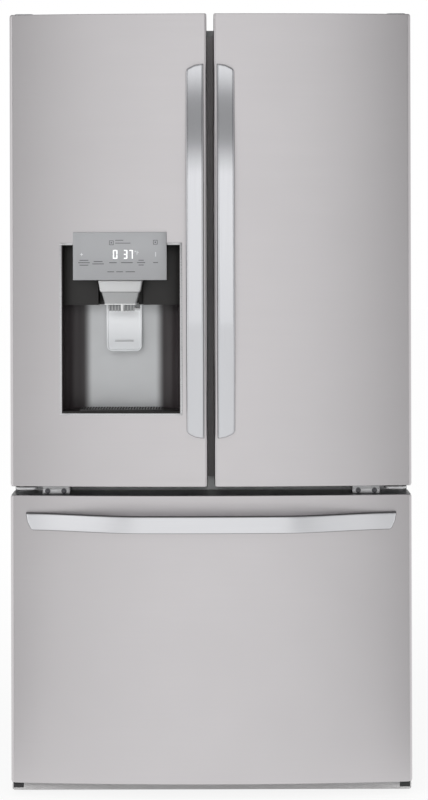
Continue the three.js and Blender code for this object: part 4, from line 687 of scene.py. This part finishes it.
def niche_hood():
    """Dark block over the recess, in three parts that leave room for the chute."""
    x0, x1 = NICHE_X[0] + NICHE_WALL, NICHE_X[1] - NICHE_WALL
    left, right = CHUTE_X - CHUTE_HALF - 1, CHUTE_X + CHUTE_HALF + 1
    front, back = NICHE_FACE + HOOD_SETBACK, NICHE_BACK - NICHE_WALL
    zs = (HOOD_BOTTOM, NICHE_Z[1])
    blocks = [box_mesh((x0, left), (front, back), zs), box_mesh((right, x1), (front, back), zs),
              box_mesh((left, right), (CHUTE_BACK + 1, back), zs)]
    merged("niche_hood", blocks, HOOD, "left_door", "dark_plastic", bevel=0.8)


def drip_tray():
    """Floor of the recess, with a grille of thin bars held by three cross bars."""
    base = NICHE_Z[0]
    floor = drawn("z", niche_outline(-NICHE_WALL), (base, base + NICHE_FLOOR))
    merged("niche_floor", [floor], HOOD, "left_door", "dark_plastic", bevel=0.6)
    x0, x1 = NICHE_X[0] + NICHE_WALL, NICHE_X[1] - NICHE_WALL
    front, back = NICHE_FACE + 12, NICHE_BACK - 12
    zs = (base + NICHE_FLOOR, base + NICHE_FLOOR + 3.5)
    bars = []
    for i in range(29):
        x = x0 + 44 + i * (x1 - x0 - 88) / 28
        bars.append(box_mesh((x - 1.6, x + 1.6), (front, back), zs))
    for y in (front, (front + back) / 2, back):
        bars.append(box_mesh((x0 + 38, x1 - 38), (y - 2, y + 2), zs))
    merged("drip_grille", bars, GRILLE, "left_door", "dark_plastic", bevel=0.5)


def bezel():
    """Bright frame round the recess's opening; the panel interrupts its upper strip."""
    (x0, x1), (low, high) = NICHE_X, NICHE_Z
    left, right = x0 - BEZEL_WIDTH, x1 + BEZEL_WIDTH
    above = (high - 1, high + BEZEL_WIDTH)
    strips = [("bottom", (left, right), (low - BEZEL_WIDTH, low + 1), 10),
              ("top_left", (left, PANEL_X[0] - 0.5), above, 2),
              ("top_right", (PANEL_X[1] + 0.5, right), above, 2),
              ("left", (left, x0 + 1), (low, high), 1), ("right", (x1 - 1, right), (low, high), 1)]
    for label, xs, zs, steps in strips:
        bowed("bezel_" + label, xs, (SEAT, 2.0), zs, BEZEL, "left_door", "light_plastic", steps=steps,
              bevel=0.7)


SEGMENTS = {"0": "abcdef", "3": "abcdg", "7": "abc"}


def digit(text, x, z, wide=10, high=20, bar=2.4):
    """Rectangles of a seven-segment figure whose lower left corner is at x, z."""
    middle = z + high / 2
    spots = {
        "a": (x + bar, x + wide - bar, z + high - bar, z + high),
        "d": (x + bar, x + wide - bar, z, z + bar),
        "g": (x + bar, x + wide - bar, middle - bar / 2, middle + bar / 2),
        "b": (x + wide - bar, x + wide, middle + 0.4, z + high - 0.4),
        "c": (x + wide - bar, x + wide, z + 0.4, middle - 0.4),
        "f": (x, x + bar, middle + 0.4, z + high - 0.4),
        "e": (x, x + bar, z + 0.4, middle - 0.4),
    }
    return [spots[letter] for letter in SEGMENTS[text]]


def printed(name, rects, finish, slot, thick=0.12):
    """Thin flat marks on the panel's face, from rectangles (left, right, low, high)."""
    meshes = []
    for x0, x1, z0, z1 in rects:
        verts = [(x, front_y(x, PANEL_PROUD + out), z) for x in (x0, x1) for out in (thick, -0.3)
                 for z in (z0, z1)]
        meshes.append((verts, box_mesh((0, 1), (0, 1), (0, 1))[1]))
    merged(name, meshes, finish, "left_door", slot)


def panel():
    """Silver panel that stands proud of the door, and the dark body behind it."""
    (x0, x1), (z0, z1) = PANEL_X, PANEL_Z
    bowed("panel_face", (x0, x1), (SEAT, PANEL_PROUD), (z0, z1), PANEL, "left_door", "light_plastic",
          stands_for=("control_panel",), bevel=1.3)
    box("panel_body", (x0 + 3, x1 - 3), (front_y(x0) + 4, NICHE_FACE + HOOD_SETBACK - 1),
        (z0 + 2, NICHE_Z[1] - 4), HOOD, "left_door", "light_plastic")


def display():
    """Lit figures, with the small marks beside them."""
    low = 1214.0
    figures = digit("0", -219.5, low) + digit("3", -197, low) + digit("7", -184.5, low)
    printed("display_figures", figures, LIT, "white_plastic")
    marks = [(-170.5, -168, low + 15, low + 18), (-166, -161, low + 14, low + 15.2),
             (-166, -164.5, low + 9, low + 18), (-293.5, -287, low + 9.4, low + 10.8),
             (-291, -289.6, low + 6.8, low + 13.4), (-124, -122.6, low + 5, low + 15)]
    printed("display_marks", marks, FAINT, "white_plastic")


def panel_marks():
    """Rows of dashes in place of words, and two squares in place of symbols."""
    marks = []
    for x0, x1, lines in ((-298, -272, 3), (-266, -240, 2), (-228, -211, 1), (-201, -175, 1),
                          (-165, -147, 3), (-129, -118, 1)):
        for i in range(lines):
            z = 1204.5 + (lines - 1) * 2.7 - i * 5.4
            shift = 3.0 if i != 1 and lines > 1 else 0.0
            marks.append((x0 + shift, x1 - shift, z, z + 1.7))
    marks += [(x, x + w, 1184, 1185.6) for x, w in ((-232, 15), (-212, 15), (-191, 21))]
    marks += [(-214, -196, 1255, 1256.5), (-214, -180, 1248.5, 1250)]
    for x, z in ((-228, 1245), (-129, 1246)):
        marks += [(x, x + 10, z, z + 1.2), (x, x + 10, z + 9, z + 10.2), (x, x + 1.2, z, z + 10.2),
                  (x + 8.8, x + 10, z, z + 10.2), (x + 3.5, x + 6.5, z + 3.6, z + 6.6)]
    printed("panel_marks", marks, MARK, "grey_plastic")


def level_ring(us, vs, z, radius):
    """Level rectangle with round corners."""
    return across("z", round_rect(us, vs, radius, steps=5), z)


def chute():
    """Tapered nozzle with its passage, and a pale lip round its mouth."""
    def layers(profile, back):
        return [level_ring((CHUTE_X - half, CHUTE_X + half), (CHUTE_FACE + y, back), z, 5)
                for z, half, y in profile]

    outer = [(NICHE_Z[1] - 4, CHUTE_HALF, 36), (PANEL_Z[0] - 1, CHUTE_HALF, 33),
             (PANEL_Z[0] - 1.3, CHUTE_HALF, -1), (1143, 46, 0.4), (1139.5, 44.6, 1.6),
             (1137, 42, 5), (1115, 36.2, 12), (MOUTH_Z, 35.8, 12.6)]
    inside = ((CHUTE_X - 25, CHUTE_X + 25), (-69, -43))
    passage = [level_ring(*inside, z, 4) for z in (MOUTH_Z, 1190)]
    piece("chute", *loft(layers(outer, CHUTE_BACK - 1) + passage), CHUTE, "left_door",
          "light_plastic", ("ice_chute",), sharp=30)
    low = MOUTH_Z - 2.9
    edge = [(MOUTH_Z, 35.5, 13), (1112, 36.6, 12), (1110.2, 36.4, 12.2), (low, 35.4, 13.2)]
    rings = layers(edge, CHUTE_BACK - 4) + [level_ring(*inside, z, 4) for z in (low, MOUTH_Z)]
    piece("chute_lip", *loft(rings, closed=True), WHITE, "left_door", "light_plastic", sharp=30)


def throat():
    """Ribbed guide for the ice under the mouth, water nozzle, and ears for the paddle's pin."""
    face = CHUTE_FACE
    ribs = [box_mesh((CHUTE_X + x, CHUTE_X + x + 2.6), (face + 16.5, face + 21), (1095, THROAT_Z))
            for x in range(-27, 31, 7)]
    merged("throat_ribs", ribs, CHUTE, "left_door", "light_plastic", bevel=0.5)
    guide = [box_mesh((CHUTE_X - 27, CHUTE_X + 31), (face + 20, face + 22), (1096, THROAT_Z))]
    guide += [box_mesh((CHUTE_X + x, CHUTE_X + x + 3), (face + 17, face + 44), (THROAT_Z - 4, THROAT_Z))
              for x in (-27, 24)]
    merged("ice_throat", guide, GREY, "left_door", "light_plastic", bevel=1.2)
    rod("water_nozzle", "z", (CHUTE_X + 4, face + 14), [(1095, 2.6), (1096, 3.2), (THROAT_Z, 3.6)], 20,
        WHITE, "left_door", "light_plastic")
    ears = [box_mesh((PADDLE_X + x, PADDLE_X + x + 3.6), (PADDLE_Y - 1, PADDLE_Y + 5), (1100, 1113))
            for x in (-33.3, 29.7)]
    merged("paddle_ears", ears, CHUTE, "left_door", "light_plastic", bevel=1.0)


def paddle():
    """Translucent pressing plate with a raised rim, two arms up to its pin and a small ledge."""
    xs = (PADDLE_X - PADDLE_HALF, PADDLE_X + PADDLE_HALF)
    layers = [(2.4, 0.7), (2.4, 0.0), (0.2, 0.0), (-2.3, 0.5), (-2.4, 1.2), (-2.4, 3.4), (-0.4, 4.6)]
    rings = [across("y", round_rect(xs, PADDLE_Z, 13, -inset, 8, 5.5), PADDLE_Y + y)
             for y, inset in layers]
    piece("paddle_plate", *loft(rings), PADDLE, "paddle", "white_plastic", ("dispenser_paddle",),
          sharp=40)
    zs = (PADDLE_Z[1] - 7, HOOD_BOTTOM - 0.2)
    arms = [box_mesh((PADDLE_X + x, PADDLE_X + x + 4), (PADDLE_Y - 2.3, PADDLE_Y + 2.3), zs)
            for x in (-40.4, 36.4)]
    merged("paddle_arms", arms, PADDLE, "paddle", "white_plastic", bevel=0.8)
    ledge = [(PADDLE_Y + y, 1026 + z) for y, z in ((-1.0, 2.4), (-2.6, 1.4), (-2.6, 0), (-1.0, -1.4))]
    spots = [PADDLE_X + x for x in (-21, -19, 19, 21)]
    piece("paddle_ledge", *drawn("x", ledge, spots), LIGHT, "paddle", "white_plastic")
    pin = [(PADDLE_X + x, radius) for x, radius in ((-38, 1.6), (-37, 2.3), (37, 2.3), (38, 1.6))]
    rod("paddle_pin", "x", (PADDLE_Y, PIN_Z), pin, 16, TRIM, "paddle", "white_plastic")


niche_shell()
niche_hood()
drip_tray()
bezel()
panel()
display()
panel_marks()
chute()
throat()
paddle()


# ---------- seals ----------

# Bellows from the outside in: inset from the seal's outer edge, and Y.
SEAL_PROFILE = [(0, -11.7), (0, -8.5), (2.2, -7), (0.6, -5.6), (0.6, -1.6), (1.8, -0.4), (14.2, -0.4),
                (15.4, -1.6), (15.4, -5.6), (13.8, -7), (16, -8.5), (16, -11.7)]


def gasket(name, xs, zs, body, node):
    """Bellows seal with a magnet bead, running round the door's back."""
    rings = [across("y", round_rect(xs, zs, 18, -inset), y) for inset, y in SEAL_PROFILE]
    piece(name, *loft(rings, closed=True), SEAL, body, "seal", (node,), sharp=60)


gasket("left_seal", (-SEAL_X[1], -SEAL_X[0]), (710, 1726), "left_door", "left_door_gasket")
gasket("right_seal", SEAL_X, (710, 1726), "right_door", "right_door_gasket")
gasket("drawer_seal", (-SEAL_X[1], SEAL_X[1]), (73, 670), "freezer_drawer", "freezer_gasket")
# Pale lip on the left door that covers the gap between the doors from behind.
GAP_LIP = [(-12.5, -4), (-12.5, -9), (2, -8.2), (7.6, -6.8), (7.9, -6), (7.4, -5.4), (2, -5.6)]
piece("centre_seal_lip", *drawn("z", GAP_LIP, (712, 1724)), LIP, "left_door", "seal")


# ---------- shelves ----------

def shelf(name, xs, top, node):
    """Glass in a moulded rim on two steel arms."""
    x0, x1 = xs
    front, back = SHELF_FRONT, SHELF_BACK
    inner = (x0 + 3.2, x1 - 3.2)
    box(name + "_glass", inner, (front - 2, back - 14), (top - 5, top), GLASS, "cabinet",
        "shelf_glass", stands_for=(node,), bevel=0.7)
    edge = ([(front + 6, top + 2.5), (front - 3, top + 3)]
            + arc(front - 4.6, top, 3, math.pi / 2, math.pi, 4) + [(front - 7.6, top - 12)]
            + arc(front - 3.6, top - 14, 4, math.pi, 1.5 * math.pi, 4)
            + [(front + 6, top - 17.8), (front + 7, top - 5.2)])
    piece(name + "_lip", *drawn("x", edge, (x0 + 0.1, x1 - 0.1)), WHITE, "cabinet", "white_plastic",
          sharp=50)
    box(name + "_rear", inner, (back - 22, back - 10.2), (top - 9.5, top + 7.5), WHITE, "cabinet",
        "white_plastic", bevel=2.0)
    arm = [(front + 7.2, top - 12.5), (back - 1, top - 51), (back - 0.2, top - 48),
           (back - 0.2, top + 6), (back - 2, top + 7.8), (back - 14, top + 7.8),
           (front + 7.2, top - 2.5)]
    for label, spots in (("left", (x0 + 0.1, x0 + 3)), ("right", (x1 - 3, x1 - 0.1))):
        piece(name + "_arm_" + label, *drawn("x", arm, spots), SCREW, "cabinet", "shelf_glass",
              bevel=0.5)


shelf("upper_shelf_a", (-SHELF_HALF, -5), 1410, "upper_shelf_left")
shelf("upper_shelf_b", (5, SHELF_HALF), 1410, "upper_shelf_right")
shelf("wide_shelf", (-SHELF_HALF, SHELF_HALF), 1190, "lower_shelf")
box("crisper_glass", (-COVER_HALF, COVER_HALF), (165, 578), (985.2, 989.8), GLASS, "cabinet",
    "shelf_glass", stands_for=("crisper_cover",), bevel=0.7)
box("crisper_cover_lip", (-COVER_HALF, COVER_HALF), (158.2, 167), (984.2, 993.8), WHITE, "cabinet",
    "white_plastic", bevel=2.5)
box("crisper_post", (-3.9, 3.9), (166.5, 579), (740.5, 985), WHITE, "cabinet", "white_plastic",
    bevel=1.0)


# ---------- rims of the bins and drawers ----------

# Rolled edge: how far it stands out from the wall's outside, and height from its top.
RIM_PROFILE = [(1.1, -6), (1.4, -5), (1.4, -1), (0.9, 0), (-2.9, 0), (-3.4, -1), (-3.4, -6)]


def rim(name, xs, ys, z, radius, body, finish=LIGHT):
    """Rolled edge round an open top."""
    rings = [across("z", round_rect(xs, ys, radius, grow), z + height) for grow, height in RIM_PROFILE]
    piece(name, *loft(rings, closed=True), finish, body, "light_plastic", sharp=50)


def crisper_front(label, side):
    """Rim and grip on a crisper's front."""
    xs = span(side, 6.5, 380)
    box("crisper_front_rim_" + label, xs, (147.5, 152.5), (938, 946), WHITE, "crisper_" + label,
        "light_plastic", bevel=1.5)
    middle = sum(xs) / 2
    rings = [across("y", round_rect((middle - 62, middle + 62), (897.5, 922.5), 5, grow), y)
             for grow, y in ((0, 147.4), (3, 147.4), (3.4, 148.2), (0, 151.5))]
    piece("crisper_grip_" + label, *loft(rings, closed=True), WHITE, "crisper_" + label, "light_plastic")


rim("left_bin_rim", (-377, -79), (-10, BIN_BACK), 859.2, 16, "left_door")
rim("ice_bin_rim", (-375.5, -80.5), (-69, BIN_BACK), 1490.2, 12, "left_door")
for label, level in (("lower", 880.2), ("middle", 1180.2), ("upper", 1480.2)):
    rim(label + "_bin_rim", BIN_X, (-23, BIN_BACK), level, 16, "right_door")
rim("tray_rim", (-388, 388), (29.5, 518.5), 590.4, 6, "freezer_tray", WHITE)
for label, side in SIDES:
    crisper_front(label, side)


# ---------- screws, middle hinges and kick strip ----------

# One screw, from its washer to the hollow in its head: share of the radius, height, sides.
SCREW_PROFILE = ((1.45, 0.0, 24), (1.45, 0.8, 24), (1.0, 0.9, 6), (1.0, 2.9, 6), (0.8, 3.3, 6),
                 (0.45, 3.0, 6))


def screws(name, spots, surface, out, body, radius=4.0, finish=SCREW):
    """Hexagon heads on washers. Out is -1 where they stand out forwards, and 0 where they are flat."""
    meshes = []
    for x, z in spots:
        rings = []
        for share, height, sides in SCREW_PROFILE:
            outline = []
            for i in range(24):
                angle = 2 * math.pi * i / 24
                reach = radius * share
                if sides == 6:
                    part = (angle % (math.pi / 3)) - math.pi / 6
                    reach *= math.cos(math.pi / 6) / math.cos(part)
                outline.append((x + reach * math.cos(angle), z + reach * math.sin(angle)))
            rings.append(across("y", outline, surface + out * height))
        meshes.append(loft(rings))
    merged(name, meshes, finish, body, "galvanised", sharp=25)


def mid_hinge(label, side):
    """Pale face of a middle hinge with a groove along it, its two cheeks and its bolts."""
    (near, far), (low, high), front = BRACKET_X, BRACKET_Z, BRACKET_FRONT
    whole = span(side, near, far)
    bracket = [box_mesh(whole, (front, front + 3), (low, 691.5)),
               box_mesh(whole, (-73.6, front + 3), (691, 694)),
               box_mesh(whole, (front, front + 3), (693.5, high))]
    bracket += [box_mesh(span(side, x, x + 3), (front + 2, -3.4), (low + 2, high))
                for x in (near, far - 3)]
    merged("hinge_bracket_" + label, bracket, PLATED, "cabinet", "galvanised", bevel=0.6)
    screws("hinge_screws_" + label, [(side * 371.0, 687.0), (side * 334.0, 687.0)], -74.8, -1,
           "cabinet", radius=4.2, finish=BOLT)


def kick_pad(label, side):
    """Dark pad that shows as a notch in an end of the kick strip: the dark foot behind the notch, with
    painted shade for the shaded floor under the case.
    """
    box("kick_pad_" + label, span(side, 426.8, 450.2), (KICK_Y[0] - 0.3, KICK_Y[1] - 0.5),
        (14, KICK_Z[1] + 0.3), DARK, "cabinet", "grey_plastic", bevel=0.3)


def kick_plate():
    """The strip under the drawer, with its flange and the tabs that hold it to the base."""
    parts = [drawn("y", round_rect((-KICK_HALF, KICK_HALF), KICK_Z, 6), KICK_Y)]
    parts.append(box_mesh((-420, 420), (-73, 16), (24, 26)))
    top = 1000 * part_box("kick_strip")[1][2]
    parts += [box_mesh((x - 20, x + 20), (3, 16), (25, top)) for x in (-320, 0, 320)]
    merged("kick_plate", parts, KICK, "cabinet", "grey_plastic", stands_for=("kick_strip",), bevel=0.6)


for label, side in SIDES:
    mid_hinge(label, side)
    kick_pad(label, side)
kick_plate()
# The back's screws are flat and lie 0.4 mm under the panel's face, so they don't show.
screws("rear_screws", [(x, z) for x in (-441, 441) for z in (330, 680, 1030, 1380, 1725)]
       + [(x, 1731) for x in (-220, 0, 220)], CASE_BACK - 0.4, 0, "cabinet")


# ---------- studio ----------

CAMERA_PLACE = (0.0, -4.376, 1.243)
CAMERA_LENS = 79.6
CAMERA_SHIFT = (0.0044, -0.1929)
CAMERA_ROLL = 0.15
ROOM_LEVEL = 1.3
# Degrees round from straight ahead of the doors, and brightness.
SIDE_LIGHT = [(-180, 0.6), (-90, 0.7), (-60, 0.9), (-28, 0.9), (-23, 0.1), (-18, 0.1), (-13.5, 0.9),
              (4, 0.96), (12, 0.88), (18, 0.12), (24, 0.12), (32, 0.65), (90, 0.65), (180, 0.6)]
FLOOR_LIGHT = [(-180, 0.95), (-60, 1.0), (-23, 1.0), (-18, 0.5), (-13, 0.93), (0, 0.98), (4, 0.95),
               (13, 0.85), (18, 0.42), (23, 0.85), (60, 0.9), (180, 0.95)]
# Degrees above the horizon, and brightness.
HEIGHT_LIGHT = [(-90, 0.9), (0, 1.02), (8, 1.0), (15, 0.86), (22, 0.70), (28, 0.36), (34, 0.32),
                (60, 0.55), (90, 0.8)]
# Name, place, point aimed at, width and height in metres, and watts.
LAMPS = [
    ("lamp_front", (-0.8, -4.6, 3.0), (0, -0.3, 0.9), (2.6, 1.6), 55),
    ("lamp_top", (0.0, -0.6, 4.2), (0, 0, 0.5), (3.0, 2.0), 45),
    ("lamp_left", (-4.0, -1.5, 2.2), (0, 0, 0.9), (1.8, 2.2), 40),
    ("lamp_right", (4.0, -0.5, 2.2), (0, 0, 0.9), (1.8, 2.2), 40),
    ("lamp_back", (0.5, 4.5, 2.6), (0, 0, 0.9), (2.4, 1.8), 45),
]


def camera():
    """The photograph's viewpoint: level and straight ahead, with the lens shifted down."""
    data = bpy.data.cameras.new("camera")
    data.lens = CAMERA_LENS
    data.sensor_width = 36.0
    data.shift_x, data.shift_y = CAMERA_SHIFT
    eye = bpy.data.objects.new("camera", data)
    eye.location = CAMERA_PLACE
    eye.rotation_euler = (math.radians(90), math.radians(CAMERA_ROLL), 0)
    bpy.context.scene.collection.objects.link(eye)
    bpy.context.scene.camera = eye


def floor_finish():
    """White where the camera, metal or glass sees it, with the object's shadow and dimmer flanks."""
    mat = bpy.data.materials.new("floor")
    mat.use_nodes = True
    wires = Wires(mat.node_tree)
    maths = wires.maths
    diffuse = wires.tree.nodes["Principled BSDF"]
    diffuse.inputs["Base Color"].default_value = (0.86, 0.86, 0.86, 1)
    diffuse.inputs["Roughness"].default_value = 0.9
    path = wires.add("ShaderNodeLightPath").outputs
    spot = wires.xyz(wires.add("ShaderNodeTexCoord").outputs["Object"])
    x, y = spot["X"], spot["Y"]
    # Share of the glow: less of it near the object, where the shaded floor shows through.
    away = maths("SQRT", maths("ADD", maths("MULTIPLY", x, x), maths("MULTIPLY", y, y)))
    share = wires.ranged(away, 0.88, 0.985, 0.6, 3.2, "SMOOTHSTEP")
    # The fronts mirror the floor ahead of them with dim flanks like the room's.
    turned = maths("DEGREES", maths("ARCTAN2", x, maths("SUBTRACT", 1.19, y)))
    flanks = wires.graded(turned, -180, 180, FLOOR_LIGHT)
    ahead = wires.ranged(y, 1.0, 0.0, -0.9, -0.35, "SMOOTHSTEP")
    mirrored = maths("MULTIPLY", ahead, path["Is Glossy Ray"])
    glow = wires.add("ShaderNodeEmission", {"Color": wires.mixed(mirrored, (1, 1, 1, 1), flanks)})
    seen = maths("MAXIMUM", path["Is Camera Ray"], path["Is Glossy Ray"])
    seen = maths("MAXIMUM", seen, path["Is Transmission Ray"])
    wires.finish_with(maths("MULTIPLY", seen, share), diffuse, glow, "Material Output")
    return mat


def ground():
    """Plain pale floor, 60 m wide."""
    mesh = bpy.data.meshes.new("floor")
    mesh.from_pydata([(-30, -30, 0), (30, -30, 0), (30, 30, 0), (-30, 30, 0)], [], [(0, 1, 2, 3)])
    mesh.materials.append(floor_finish())
    floor = bpy.data.objects.new("floor", mesh)
    bpy.context.scene.collection.objects.link(floor)


def room():
    """A pale room with two dim flanks and a dimmer ceiling, and plain white behind the object."""
    world = bpy.data.worlds.new("studio")
    bpy.context.scene.world = world
    world.use_nodes = True
    wires = Wires(world.node_tree)
    maths = wires.maths
    way = wires.xyz(wires.add("ShaderNodeTexCoord").outputs["Generated"])
    turned = maths("DEGREES", maths("ARCTAN2", way["X"], maths("MULTIPLY", way["Y"], -1.0)))
    lifted = maths("DEGREES", maths("ARCSINE", way["Z"]))
    walls = wires.tree.nodes["Background"]
    walls.inputs["Strength"].default_value = ROOM_LEVEL
    both = wires.mixed(1.0, wires.graded(turned, -180, 180, SIDE_LIGHT),
                       wires.graded(lifted, -90, 90, HEIGHT_LIGHT), blend_type="MULTIPLY")
    wires.link(both, walls.inputs["Color"])
    plain = wires.add("ShaderNodeBackground", {"Color": (1, 1, 1, 1)})
    path = wires.add("ShaderNodeLightPath").outputs
    seen = maths("MAXIMUM", path["Is Camera Ray"], path["Is Transmission Ray"])
    wires.finish_with(seen, walls, plain, "World Output")


def lamps():
    """Soft area lamps that no gloss mirrors."""
    for name, where, aim, size, power in LAMPS:
        lamp = bpy.data.lights.new(name, "AREA")
        lamp.shape = "RECTANGLE"
        lamp.size, lamp.size_y = size
        lamp.energy = power
        holder = bpy.data.objects.new(name, lamp)
        holder.location = where
        holder.rotation_euler = (Vector(aim) - Vector(where)).to_track_quat("-Z", "Y").to_euler()
        holder.visible_glossy = False
        bpy.context.scene.collection.objects.link(holder)


bpy.context.scene.view_settings.view_transform = "Standard"
camera()
ground()
room()
lamps()
